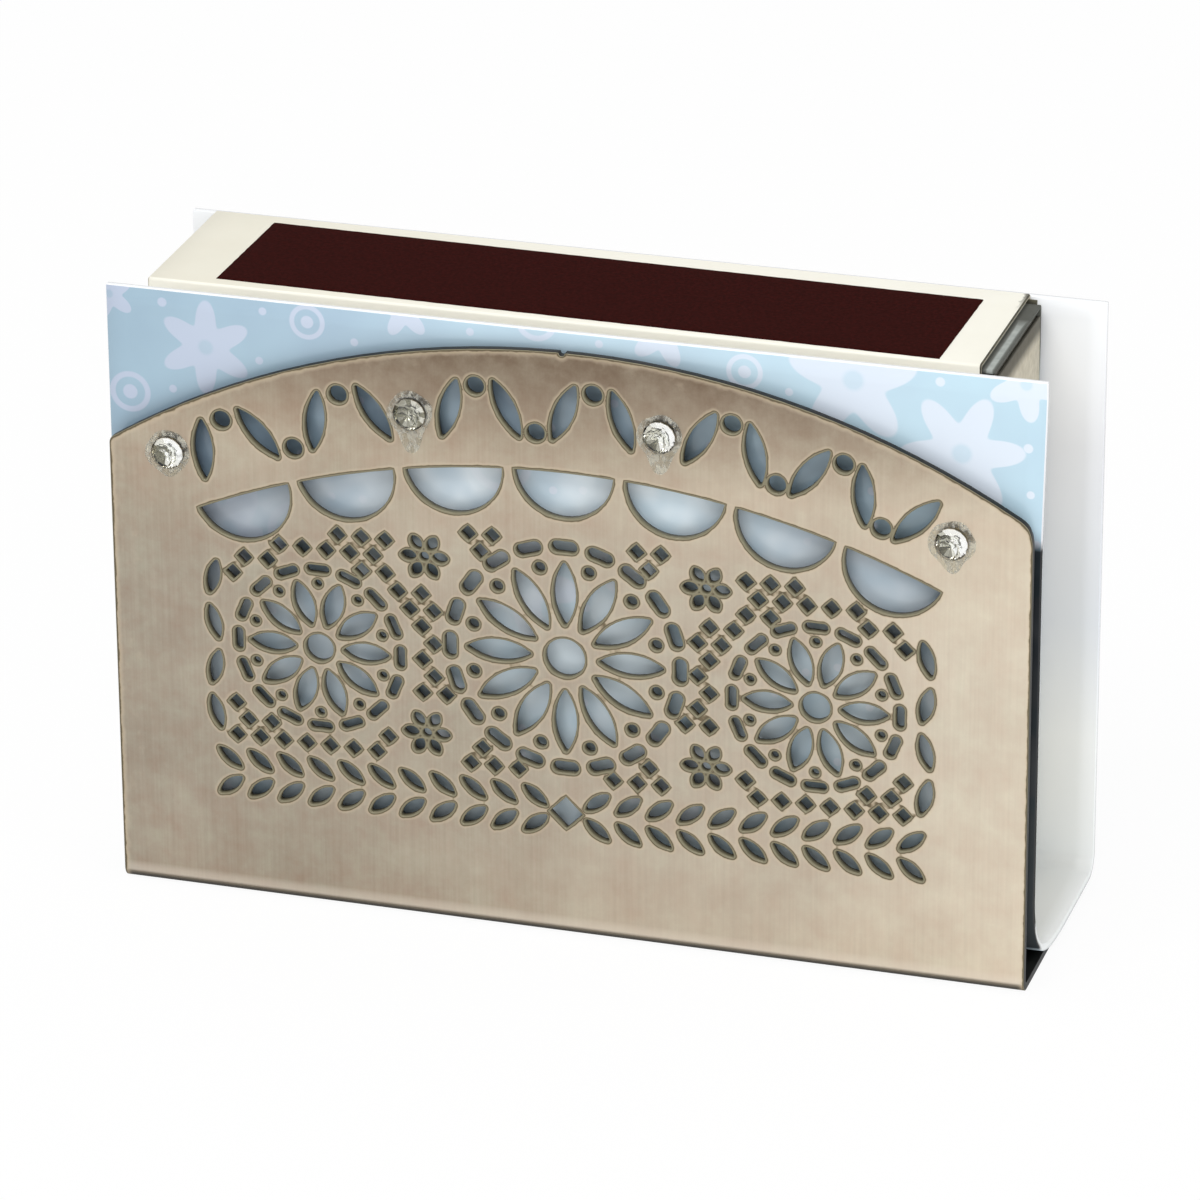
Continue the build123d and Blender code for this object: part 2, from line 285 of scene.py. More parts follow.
class Finish:
    """A node material with one principled shader."""

    def __init__(self, name, **values):
        self.material = bpy.data.materials.new(name)
        self.material.use_nodes = True
        self.tree = self.material.node_tree
        self.tree.nodes.clear()
        self.shader = self.add("ShaderNodeBsdfPrincipled", **values)
        self.add("ShaderNodeOutputMaterial", Surface=self.shader.outputs[0])
        self.place = self.add("ShaderNodeTexCoord").outputs["Object"]

    def add(self, kind, settings=None, inputs=(), **values):
        return new_node(self.tree, kind, settings, inputs, **values)

    def split(self, vector=None):
        """X, Y and Z of a vector, or of the place on the piece in metres."""
        return self.add("ShaderNodeSeparateXYZ", Vector=vector or self.place).outputs[:3]

    def grain(self, scale, detail=3.0, roughness=0.55, source=None):
        """Noise from 0 to 1, at one scale or at a scale for each axis."""
        scale = scale if isinstance(scale, tuple) else (scale, scale, scale)
        scaled = self.add("ShaderNodeMapping", Scale=scale, Vector=source or self.place)
        return self.add("ShaderNodeTexNoise", Vector=scaled.outputs[0], Scale=1.0,
                        Detail=detail, Roughness=roughness).outputs["Fac"]

    def ramp(self, source, *stops, smooth=False):
        """Colours or greys along a value."""
        made = self.add("ShaderNodeValToRGB", Fac=source)
        made.color_ramp.interpolation = "EASE" if smooth else "LINEAR"
        elements = made.color_ramp.elements
        while len(elements) < len(stops):
            elements.new(0.5)
        for element, (position, colour) in zip(elements, stops):
            element.position = position
            element.color = colour if isinstance(colour, tuple) else (colour, colour, colour, 1.0)
        return made.outputs["Color"]

    def math(self, operation, *values):
        return self.add("ShaderNodeMath", {"operation": operation}, values).outputs[0]

    def vector_math(self, operation, *values):
        return self.add("ShaderNodeVectorMath", {"operation": operation}, values).outputs

    def mix(self, share, first, second):
        """Colour between two colours."""
        made = self.add("ShaderNodeMix", {"data_type": "RGBA"})
        fill_inputs(self.tree, [made.inputs[index] for index in (0, 6, 7)], (share, first, second))
        return made.outputs[2]

    def mark(self, name, output="Fac"):
        """Attribute that the mesh carries."""
        return self.add("ShaderNodeAttribute", {"attribute_name": name}).outputs[output]

    def bump(self, height, distance, strength=1.0):
        made = self.add("ShaderNodeBump", Strength=strength, Distance=distance, Height=height)
        self.shade(Normal=made.outputs[0])

    def shade(self, **sockets):
        for key, socket in sockets.items():
            self.tree.links.new(socket, self.shader.inputs[key.replace("_", " ")])


def grained(name, scale, detail, tones, relief=None, **values):
    """Finish in two tones of a grain, with a fine relief of another grain."""
    finish = Finish(name, **values)
    finish.shade(Base_Color=finish.ramp(finish.grain(scale, detail=detail), *tones))
    if relief:
        relief_scale, relief_detail, distance, strength = relief
        finish.bump(finish.grain(relief_scale, detail=relief_detail), distance, strength)
    return finish


print("middle grey in linear light:", round(tint(128, 128, 128)[0], 3))

# %% [markdown]
# ## Brushed steel
# The plate is stainless steel sheet about 1 mm thick, finely brushed from top to bottom.
# It looks warm and slightly mottled. Painted shade darkens its left end, painted light
# brightens its right end, and painted shade, mottled brown, darkens the top of the arch.
# A laser cut the openings, and its heat left olive-grey walls, a brown line at their edge
# and a thin straw rim. The mesh carries the distance from the nearest cut, and the
# shader turns it into that heat tint.

# %% Steel tone, with painted light and shade
ALONG_SHARE = 8.0  # times X in metres: -0.5 to 0.5 along the holder
HEIGHT_SHARE = 12.5  # times Z in metres: 0 to 1 up the holder

steel = Finish("brushed_steel")
steel_x, _, steel_z = steel.split()
along_share = steel.math("MULTIPLY_ADD", steel_x, ALONG_SHARE, 0.5)
height_share = steel.math("MULTIPLY", steel_z, HEIGHT_SHARE)
# Painted light: the steel darkens to the left and brightens to the right, as if lit from the right.
plain = steel.ramp(along_share, (0.0, tint(112, 104, 94)), (0.35, tint(161, 151, 137)),
                   (0.75, tint(200, 189, 173)), (1.0, tint(255, 243, 222)))
warm = steel.ramp(along_share, (0.2, tint(200, 171, 137)), (0.6, tint(208, 180, 147)),
                  (1.0, tint(255, 232, 200)))
plain = steel.mix(steel.ramp(height_share, (0.55, 0.0), (0.85, 0.42)), plain, warm)
cloud = steel.grain(38, detail=4)
plain = steel.mix(0.34, plain, steel.ramp(cloud, (0.32, tint(160, 147, 128)), (0.5, tint(190, 176, 156)),
                                          (0.7, tint(222, 206, 184))))
blotch = steel.grain(190, detail=5, roughness=0.7)
plain = steel.mix(0.32, plain, steel.ramp(blotch, (0.3, tint(176, 146, 128)), (0.5, tint(190, 178, 160)),
                                          (0.7, tint(208, 208, 188))))
brush = steel.grain((2600, 2600, 60), detail=2, roughness=0.6)
plain = steel.mix(0.045, plain, steel.ramp(brush, (0.3, tint(120, 110, 96)), (0.7, tint(250, 240, 224))))
# Painted shade at the top of the arch, broken up by the blotches.
arch_top_shade_share = steel.math("MULTIPLY", steel.ramp(height_share, (0.78, 0.0), (0.96, 0.95)),
                         steel.ramp(blotch, (0.3, 0.9), (0.7, 0.62)))
plain = steel.mix(arch_top_shade_share, plain, tint(98, 80, 63))
print("steel: warmer and browner with height")

# %% Heat tint, and painted shadow and highlight at the fold
FOLD_SHARE = 250.0  # times Z in metres: 0 to 1 over the lowest 4 mm

wander = steel.math("MULTIPLY_ADD", steel.grain(700, detail=2), 0.7, 0.65)
heat = steel.math("MULTIPLY", steel.mark("cut_distance"), wander)
burnt = steel.ramp(heat, (0.0, tint(22, 20, 16)), (0.06, tint(104, 98, 78)), (0.1, tint(136, 130, 106)),
                   (0.2, tint(130, 123, 99)), (0.27, tint(84, 75, 55)), (0.33, tint(106, 93, 70)),
                   (0.42, tint(196, 180, 152)), (0.6, tint(220, 204, 180)), (0.9, tint(212, 197, 174)))
burn_share = steel.ramp(heat, (0.34, 1.0), (0.44, 0.5), (0.6, 0.16), (0.75, 0.0))
metal_share = steel.ramp(heat, (0.0, 0.2), (0.3, 0.35), (0.5, 1.0))
# Painted shadow along the foot of the fold, with a painted highlight band just above it.
up_share = steel.math("MULTIPLY", steel_z, FOLD_SHARE)
fold_painted_share = steel.ramp(up_share, (0.0, 0.97), (0.2, 0.92), (0.3, 0.8), (0.38, 0.45), (0.5, 0.35),
                        (0.7, 0.0))
fold_shadow_and_highlight = steel.ramp(up_share, (0.1, tint(42, 40, 36)), (0.2, tint(74, 70, 62)),
                       (0.29, tint(124, 116, 104)), (0.38, tint(228, 219, 206)))
plain = steel.mix(fold_painted_share, plain, fold_shadow_and_highlight)
steel.shade(Base_Color=steel.mix(burn_share, plain, burnt), Metallic=metal_share,
            Roughness=steel.ramp(blotch, (0.2, 0.3), (0.8, 0.46)))
steel.bump(brush, 0.00002, 0.07)
print("heat tint: fades out at 0.75 mm from a cut")

# %% Back of the steel, painted dark as shade
shaded_steel_back = grained("steel_back_shade", 160, 4, ((0.3, tint(34, 33, 31)), (0.7, tint(54, 52, 48))),
                     Metallic=1.0, Roughness=0.6)
print("back of the steel:", shaded_steel_back.material.name)

# %% [markdown]
# ## Printed enamel
# The liner is thin steel with a glossy white coat. Its outer face carries a pale blue
# print with soft white rings, beads and small flowers, strewn without a strict order.
# The motifs come from cell noise: each cell has a centre, and the distance and angle
# from that centre draw rings, dots or petals. A cell cuts large motifs off at its
# border, so the open band above the plate, which is seen most, has its motifs set one
# by one. The sheet is printed flat and folded afterwards, so the print follows the
# distance along the sheet.

# %% Motifs from cell noise
enamel = Finish("printed_enamel", Roughness=0.16, IOR=1.5)
sheet_x, sheet_y, sheet_face = enamel.split(enamel.mark("sheet", "Vector"))
flat_place = enamel.add("ShaderNodeCombineXYZ", X=sheet_x, Y=sheet_y).outputs[0]


def motif_cells(pitch, shift, randomness):
    """Distance from and direction to the nearest motif centre, and random values for it."""
    moved = enamel.add("ShaderNodeMapping", Location=(shift, shift * 0.37, 0),
                       Scale=(1 / pitch, 1 / pitch, 1), Vector=flat_place).outputs[0]
    cells = enamel.add("ShaderNodeTexVoronoi", {"voronoi_dimensions": "2D"}, Scale=1.0,
                       Randomness=randomness, Vector=moved)
    local = enamel.vector_math("SUBTRACT", moved, cells.outputs["Position"])["Vector"]
    local_x, local_y, _ = enamel.split(local)
    chance = enamel.add("ShaderNodeSeparateColor", Color=cells.outputs["Color"])
    return cells.outputs["Distance"], enamel.math("ARCTAN2", local_y, local_x), chance.outputs


MOTIF_PITCH, BEAD_PITCH = 21.0, 4.1
distance, angle, chance = motif_cells(MOTIF_PITCH, 0.72, 0.7)
rings = enamel.ramp(distance, (0.0, 1.0), (0.06, 1.0), (0.08, 0.0), (0.135, 0.0), (0.155, 1.0), (0.185, 1.0),
                    (0.21, 0.0))
petal_wave = enamel.math("COSINE", enamel.math("MULTIPLY_ADD", angle, 5.0, chance["Blue"]))
petal_reach = enamel.math("MULTIPLY_ADD", petal_wave, 0.1, 0.3)
petal = enamel.ramp(enamel.math("SUBTRACT", petal_reach, distance), (0.0, 0.0), (0.05, 1.0))
flower = enamel.math("MULTIPLY", petal, enamel.ramp(distance, (0.06, 0.35), (0.11, 1.0)))
motif = enamel.mix(enamel.math("GREATER_THAN", chance["Red"], 0.5), rings, flower)
motif = enamel.math("MULTIPLY", motif, enamel.math("GREATER_THAN", chance["Green"], 0.22))
print("cells:", MOTIF_PITCH, "mm for flowers and rings")

# %% Motifs set one by one on the band above the plate
# Place along the sheet and up it, size, and for flowers the number of petals.
BAND_FLOWERS = (
    (-47.0, 73.6, 6.4, 6), (-59.6, 79.4, 3.6, 5), (-21.0, 81.2, 3.8, 5), (12.0, 81.8, 4.6, 5),
    (36.0, 78.4, 8.6, 5), (49.6, 70.4, 8.2, 6), (57.4, 80.2, 5.0, 5),
)
BAND_RINGS = ((-57.2, 66.6, 2.8), (-33.6, 78.4, 2.4), (-4.0, 81.8, 2.8), (22.4, 78.0, 2.4))
BAND_BEADS = (
    (-52.6, 79.0, 0.7), (-39.4, 79.2, 0.6), (-51.5, 67.6, 0.6), (-40.0, 72.6, 0.6), (-27.5, 76.4, 0.6),
    (-12.5, 79.4, 0.6), (4.0, 79.6, 0.6), (28.0, 76.0, 0.6), (57.8, 72.0, 0.7), (58.2, 66.0, 0.6),
    (46.8, 79.4, 0.7),
)
front_place = enamel.mark("front_place", "Vector")


def from_centre(across, up, size):
    """Way from a motif's centre, as a vector and as a share of the motif's size."""
    moved = enamel.vector_math("SUBTRACT", front_place, (across, up, 0.0))["Vector"]
    return moved, enamel.math("MULTIPLY", enamel.vector_math("LENGTH", moved)["Value"], 1 / size)


def band_flower(across, up, size, petals):
    moved, reach = from_centre(across, up, size)
    moved_x, moved_y, _ = enamel.split(moved)
    turn = enamel.math("ARCTAN2", moved_y, moved_x)
    wave = enamel.math("COSINE", enamel.math("MULTIPLY_ADD", turn, float(petals), across))
    border = enamel.math("MULTIPLY_ADD", wave, 0.24, 0.76)
    inside = enamel.ramp(enamel.math("SUBTRACT", border, reach), (0.0, 0.0), (0.06, 1.0))
    return enamel.math("MULTIPLY", inside, enamel.ramp(reach, (0.12, 0.45), (0.2, 1.0)))


drawn = [band_flower(*place) for place in BAND_FLOWERS]
drawn += [enamel.ramp(from_centre(*place)[1], (0.0, 1.0), (0.3, 1.0), (0.38, 0.0), (0.66, 0.0), (0.74, 1.0),
                      (0.92, 1.0), (1.0, 0.0)) for place in BAND_RINGS]
drawn += [enamel.ramp(from_centre(*place)[1], (0.7, 1.0), (1.0, 0.0)) for place in BAND_BEADS]
band = drawn[0]
for other in drawn[1:]:
    band = enamel.math("MAXIMUM", band, other)
below_arch = enamel.mark("below_arch")
on_band = enamel.math("MULTIPLY", enamel.math("LESS_THAN", below_arch, 1.0), enamel.mark("on_front"))
motif = enamel.mix(on_band, motif, band)
print("motifs on the band:", len(drawn))

# %% Beads between the motifs
bead_distance, _, bead_chance = motif_cells(BEAD_PITCH, 0.83, 0.35)
beads = enamel.ramp(bead_distance, (0.1, 1.0), (0.16, 0.0))
for share in (enamel.math("GREATER_THAN", bead_chance["Red"], 0.72),
              enamel.ramp(distance, (0.3, 0.0), (0.34, 1.0)),
              enamel.math("SUBTRACT", 1.0, on_band)):
    beads = enamel.math("MULTIPLY", beads, share)
white_share = enamel.math("MAXIMUM", motif, beads)
print("beads: about", BEAD_PITCH, "mm apart")

# %% Blue wash with painted light from the right, and the light and shade behind the plate
SHEET_SHARE = 0.0083  # times millimetres across the sheet: -0.5 to 0.5
BELOW_SHARE = 0.025  # times millimetres below the arch: 0 to 1 over 40 mm

across_share = enamel.math("MULTIPLY_ADD", sheet_x, SHEET_SHARE, 0.5)
# Painted light: the wash and the white motifs darken to the left and grow paler to the right.
wash_and_painted_light = enamel.ramp(across_share, (0.0, tint(138, 165, 182)), (0.25, tint(162, 187, 204)),
                   (0.48, tint(190, 213, 226)), (1.0, tint(192, 221, 234)))
wash_cloud = enamel.grain(0.05, detail=3, source=flat_place)
wash_and_painted_light = enamel.mix(0.3, wash_and_painted_light, enamel.ramp(wash_cloud, (0.3, tint(166, 186, 208)), (0.7, tint(198, 226, 240))))
motif_tint_and_painted_light = enamel.ramp(across_share, (0.0, tint(190, 196, 216)), (0.4, tint(214, 220, 236)),
                         (1.0, tint(232, 236, 246)))
print_share = enamel.ramp(white_share, (0.0, 0.0), (1.0, 0.7), smooth=True)
print_colour = enamel.mix(print_share, wash_and_painted_light, motif_tint_and_painted_light)
below = enamel.math("MULTIPLY", below_arch, BELOW_SHARE)
dusk_cloud = enamel.grain(0.11, detail=2, source=flat_place)
bright_share = enamel.math("MULTIPLY", enamel.ramp(below, (0.3, 0.0), (0.4, 0.8), (1.0, 0.6)),
                           enamel.ramp(dusk_cloud, (0.34, 0.3), (0.56, 1.0)))
dusk_share = enamel.math("MULTIPLY", enamel.ramp(below, (0.01, 0.0), (0.05, 0.6), (0.33, 0.55), (0.4, 0.06),
                                                 (0.6, 0.02), (1.0, 0.0)),
                         enamel.ramp(dusk_cloud, (0.36, 1.0), (0.6, 0.3)))
side_share = enamel.math("MULTIPLY", enamel.ramp(below, (0.3, 0.0), (0.36, 0.5), (0.55, 0.4), (0.65, 0.0)),
                         enamel.ramp(across_share, (0.22, 1.0), (0.4, 0.0), (0.62, 0.0), (0.76, 1.0)))
for share, colour in ((bright_share, tint(238, 247, 252)), (dusk_share, tint(78, 90, 108)),
                      (side_share, tint(104, 116, 132))):
    print_colour = enamel.mix(share, print_colour, colour)
print("print: paler to the right, darker right behind the plate's arch")

# %% Outer face, white inner face with painted shade, and the painted shadow line in the gap
outer_face = enamel.math("LESS_THAN", sheet_face, 0.5)
inner_height = enamel.math("MULTIPLY", enamel.split()[2], HEIGHT_SHARE)
# Painted shade: the white inner face is greyer in the middle of its height.
inner_colour_and_painted_shade = enamel.ramp(inner_height, (0.0, tint(252, 255, 255)), (0.25, tint(252, 255, 255)),
                           (0.45, tint(232, 237, 243)), (0.75, tint(232, 234, 238)),
                           (0.95, tint(250, 252, 254)))
# Painted shadow: a near-black line without shine, where the plate stands off the liner at its sides.
gap_shadowed = enamel.ramp(enamel.mark("gap_shadow_line"), (0.3, 0.0), (0.9, 0.94))
enamel_colour = enamel.mix(outer_face, inner_colour_and_painted_shade, print_colour)
enamel.shade(Base_Color=enamel.mix(gap_shadowed, enamel_colour, tint(7, 6, 5)),
             Specular_IOR_Level=enamel.ramp(gap_shadowed, (0.0, 0.5), (0.9, 0.0)))
print("enamel:", len(enamel.tree.nodes), "nodes")

# %% [markdown]
# ## Card, striking strip, wood and match heads
# The sleeve is glazed cream card. Painted shade darkens its left end and the lower part of
# its front face, painted light brightens the top of that face, and painted shade darkens the
# far right corner. The tray is plain greyish board, with painted shade on its top wall where
# it leaves the sleeve, along its far edge and at its right end. The striking strip is a thin
# dark red-brown layer with a fine grit, printed on the sleeve's narrow sides. All are plain
# grains of two tones, with a share along an axis where one end differs.

# %% Glazed card
card = Finish("ivory_card", Roughness=0.5)
card_x, card_y, card_z = card.split()
card_low, card_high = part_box("matchbox_sleeve")
# Painted light: the card darkens to the left and brightens to the right; the grain is its own.
card_tone_and_painted_light = card.ramp(card.math("MULTIPLY_ADD", card_x, ALONG_SHARE, 0.5), (0.0, tint(226, 221, 203)),
                 (0.18, tint(238, 234, 217)), (0.5, tint(251, 248, 235)), (1.0, tint(254, 252, 240)))
card_tone_and_painted_light = card.mix(0.3, card_tone_and_painted_light, card.ramp(card.grain(70, detail=4), (0.3, tint(232, 228, 210)),
                                     (0.7, tint(250, 248, 236))))
# Painted light on the front face: darker low down, brighter near the top.
front_share = card.math("LESS_THAN", card_y, card_low[1] + 0.3 * MM)
front_painted_light = card.ramp(card.math("MULTIPLY", card_z, HEIGHT_SHARE), (0.7, tint(226, 221, 204)),
                       (0.93, tint(238, 234, 219)), (0.98, tint(250, 247, 234)))
card_tone_and_painted_light = card.mix(front_share, card_tone_and_painted_light, front_painted_light)
# Painted shade at the far right corner, with a ragged edge.
ragged = card.math("MULTIPLY_ADD", card.grain(900), 1800.0, 200.0)
to_end = card.math("MULTIPLY", card.math("SUBTRACT", card_high[0], card_x), ragged)
to_far = card.math("MULTIPLY", card.math("SUBTRACT", card_high[1], card_y), 100.0)
far_corner_shade = card.math("MULTIPLY", card.ramp(to_end, (0.45, 0.9), (0.75, 0.0)),
                   card.ramp(to_far, (0.1, 1.0), (0.6, 0.0)))
card.shade(Base_Color=card.mix(far_corner_shade, card_tone_and_painted_light, tint(66, 62, 44)))
card.bump(card.grain(2600, detail=2), 0.00001, 0.3)
# Dark card for the sleeve's right-hand cut edges and for the lap.
dark_card = grained("dark_card_edges", 1200, 3, ((0.3, tint(52, 50, 40)), (0.7, tint(96, 92, 74))), Roughness=0.8)
print("card:", rounded(*box_mm("matchbox_sleeve")))

# %% Tray board
BOARD_RELIEF = ((3000, 1200, 3000), 3, 0.00002, 0.4)
board = grained("tray_board", 900, 4, ((0.25, tint(176, 168, 148)), (0.75, tint(204, 197, 178))),
                BOARD_RELIEF, Roughness=0.75)

end_board = Finish("tray_end_board", Roughness=0.75)
# Painted shade: a dark band along the top of the end wall, in the fold beside the long walls.
rim_share = end_board.ramp(end_board.math("MULTIPLY", end_board.split()[2], HEIGHT_SHARE), (0.93, 0.0),
                           (0.95, 0.85))
plain_end = end_board.ramp(end_board.grain(900, detail=4), (0.25, tint(180, 172, 152)),
                           (0.75, tint(206, 199, 181)))
end_board.shade(Base_Color=end_board.mix(rim_share, plain_end, tint(56, 54, 44)))
end_board.bump(end_board.grain(BOARD_RELIEF[0], detail=BOARD_RELIEF[1]), *BOARD_RELIEF[2:])

grey_board = Finish("grey_tray_board", Roughness=0.7)
tray_x, tray_y, tray_z = grey_board.split()
tray_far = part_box("matchbox_tray")[1][1]
wall_colour = grey_board.ramp(grey_board.grain(800, detail=4), (0.25, tint(148, 154, 150)),
                              (0.75, tint(178, 183, 178)))
# Painted shade on the top wall where it leaves the sleeve, along its far edge and at its right end.
end_share = grey_board.math("MULTIPLY_ADD", tray_x, 500.0, -25.0)
tray_painted_shade = grey_board.ramp(end_share, (0.0, 0.0), (0.1, 0.9), (0.35, 0.75), (0.48, 0.0), (0.74, 0.0),
                         (0.86, 0.75), (1.0, 0.9))
from_far = grey_board.math("MULTIPLY", grey_board.math("SUBTRACT", tray_far, tray_y), 50.0)
far_share = grey_board.math("MULTIPLY", grey_board.ramp(from_far, (0.3, 0.9), (0.46, 0.0)),
                            grey_board.ramp(end_share, (0.0, 0.0), (0.1, 1.0)))
top_share = grey_board.ramp(grey_board.math("MULTIPLY", tray_z, HEIGHT_SHARE), (0.86, 0.0), (0.92, 1.0))
tray_painted_shade = grey_board.math("MULTIPLY", grey_board.math("MAXIMUM", tray_painted_shade, far_share), top_share)
grey_board.shade(Base_Color=grey_board.mix(tray_painted_shade, wall_colour, tint(52, 52, 42)))
grey_board.bump(grey_board.grain(BOARD_RELIEF[0], detail=BOARD_RELIEF[1]), *BOARD_RELIEF[2:])
print("boards:", [finish.material.name for finish in (board, end_board, grey_board)])

# %% Strip, matches and tape
strip_finish = grained("striking_layer", 2200, 3, ((0.3, tint(38, 9, 6)), (0.7, tint(54, 14, 11))),
                       (5200, 2, 0.00003, 0.6), Roughness=0.85, Specular_IOR_Level=0.03)
wood = grained("aspen_wood", (60, 1700, 1700), 4, ((0.25, tint(206, 176, 128)), (0.7, tint(236, 214, 172))),
               ((50, 4000, 4000), 3, 0.00002, 0.5), Roughness=0.6)
head_finish = grained("match_head", 1500, 3, ((0.3, tint(92, 24, 18)), (0.7, tint(132, 40, 28))),
                      (5000, 2, 0.00004, 0.6), Roughness=0.55)
tape_finish = grained("clear_tape", 300, 2, ((0.3, tint(196, 198, 190)), (0.7, tint(216, 218, 212))),
                      Roughness=0.4)
print("plain finishes:", [finish.material.name for finish in (strip_finish, wood, head_finish, tape_finish)])

# %% [markdown]
# ## Crystal, its foil and the clear glue
# The crystals are foiled glass: a clear cut top over a silvered back, which throws the
# light out again through the facets. The glue is clear and shiny under the crystal, and
# cloudy with fine specks where it has spread on the steel.

# %% Glass, foil and glue
CLEAR_GLUE = (0.95, 0.96, 0.92, 1.0)

glass = Finish("crystal_glass", Base_Color=(0.98, 0.99, 1.0, 1.0), IOR=1.56, Transmission_Weight=1.0)
glass.shade(Roughness=glass.ramp(glass.grain(700, detail=2), (0.4, 0.0), (0.9, 0.03)))
foil = Finish("crystal_foil", Metallic=1.0)
# The foil's tone per facet is painted reflection: bright glints and dark facets.
foil.shade(Base_Color=foil.ramp(foil.mark("facet_glint"), (0.0, tint(34, 33, 26)), (0.35, tint(120, 117, 98)),
                                (0.6, tint(228, 226, 214)), (1.0, tint(255, 255, 252))),
           Roughness=foil.ramp(foil.grain(1400, detail=1), (0.3, 0.03), (0.7, 0.1)))
glue = Finish("clear_glue", IOR=1.4)
specks = glue.ramp(glue.grain((1300, 1300, 900), detail=3), (0.44, 0.08), (0.62, 1.0))
clouding = glue.math("MULTIPLY", specks, glue.ramp(glue.mark("rim_share"), (0.7, 0.0), (0.8, 1.0)))
glue.shade(Base_Color=glue.ramp(clouding, (0.0, CLEAR_GLUE), (1.0, tint(234, 230, 214))),
           Transmission_Weight=glue.ramp(clouding, (0.0, 1.0), (1.0, 0.55)),
           Roughness=glue.ramp(glue.grain(800, detail=2), (0.35, 0.02), (0.8, 0.12)))
glue.bump(glue.grain((900, 900, 600), detail=3), 0.0001, 0.7)
print("glass, foil and glue")

# %% [markdown]
# ## The printed liner
# It is one sheet: down the back, round a small bend, along the floor, round a wide bend
# and up the front. On the real object it is cut and printed flat and folded on a brake.
# Its points carry what the shader asks for: the place on the flat sheet, the depth
# below the plate's arch, and a painted shadow line in the gap at the sides.

# %% Printed liner
LINER_THICKNESS = 1.0
LINER_FRONT_BEND, LINER_BACK_BEND = 10.5, 3.0
BACK_WALL_TOP = 79.3
DRAWN_IN = 0.4

liner_low, liner_high = box_mm("printed_liner")
plate_low, plate_high = box_mm("pierced_plate")


def liner_place(across, up, along):
    """Point of the liner; the front wall's right edge is drawn in below the plate's top."""
    front_share = clipped(-across / 8)
    low_share = clipped((plate_high[2] - 1 - up) / 20)
    right_share = clipped(along / liner_high[0])
    return along - DRAWN_IN * front_share * low_share * right_share, across, up


liner_corners = [(liner_low[1], liner_high[2]), (liner_low[1], liner_low[2]),
                 (liner_high[1], liner_low[2]), (liner_high[1], BACK_WALL_TOP)]
liner_path = rounded_path(liner_corners, (LINER_FRONT_BEND, LINER_BACK_BEND), steps=24)
liner, liner_marks = folded_sheet("liner_sheet", divided(liner_path, 2.5)[::-1], LINER_THICKNESS,
                                  even_places(liner_low[0], liner_high[0], 48), liner_place, rim=0.12)
liner.data.materials.append(enamel.material)
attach(liner, "holder")
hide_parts("printed_liner")
print("liner:", rounded(liner_low, liner_high))

# %% Marks on the liner for its print
ARCH_X, ARCH_Z, ARCH_RADIUS = 1.04, -32.45, 111.24  # circle along the top of the plate
FAR_ABOVE_ARCH = -20.0
# The painted shadow line at the sides: how far out it starts, its foot outside and inside, its top, its fade.
GAP_SHADOW_FROM_MIDDLE = 57.0
GAP_SHADOW_FOOT_OUTSIDE, GAP_SHADOW_FOOT_INSIDE, GAP_SHADOW_TOP = 2.2, 7.0, 60.5
GAP_SHADOW_FADE = 1.6

front_bend_end = liner_low[1] + LINER_FRONT_BEND
liner_spots = [tuple(vertex.co / MM) for vertex in liner.data.vertices]
store_vectors(liner, "sheet", [(along, run, face) for run, along, face in liner_marks])
store_vectors(liner, "front_place", [(along, up, 0) for along, _, up in liner_spots])
store_values(liner, "on_front", [1.0 if deep < 0 else 0.0 for _, deep, _ in liner_spots])
below_values = []
for along, deep, up in liner_spots:
    below_values.append(ARCH_RADIUS - distance_between((along, up), (ARCH_X, ARCH_Z)) if deep < 0
                        else FAR_ABOVE_ARCH)
store_values(liner, "below_arch", below_values)
# Painted shadow in the narrow gap beside the plate's sides, on the liner's front and its cut edges.
gap_shadow_line = []
for index, ((_, along, _), (_, deep, up)) in enumerate(zip(liner_marks, liner_spots)):
    if index < len(liner_marks) / 2:
        on_side, foot = abs(along) > GAP_SHADOW_FROM_MIDDLE, GAP_SHADOW_FOOT_OUTSIDE
    else:
        on_side, foot = abs(along) > liner_high[0] - 0.01, GAP_SHADOW_FOOT_INSIDE
    shown = deep < front_bend_end and up < GAP_SHADOW_TOP and on_side
    gap_shadow_line.append(clipped((up - foot) / GAP_SHADOW_FADE) if shown else 0.0)
store_values(liner, "gap_shadow_line", gap_shadow_line)
print("points on the line of glue:", sum(share > 0 for share in gap_shadow_line))

# %% [markdown]
# ## The pierced plate
# The outlines of the arch and of every opening are read from the flat front of the CAD
# plate, and the outline of the folded floor from its underside. The plate is laid flat,
# the metal between the outlines is filled with triangles, and the flat sheet is folded
# round the bottom bend again. Rings of points round each opening carry the distance to
# the cut, for the heat tint.

# %% Outlines of the CAD plate
PLATE_THICKNESS, PLATE_BEND = 1.0, 1.6


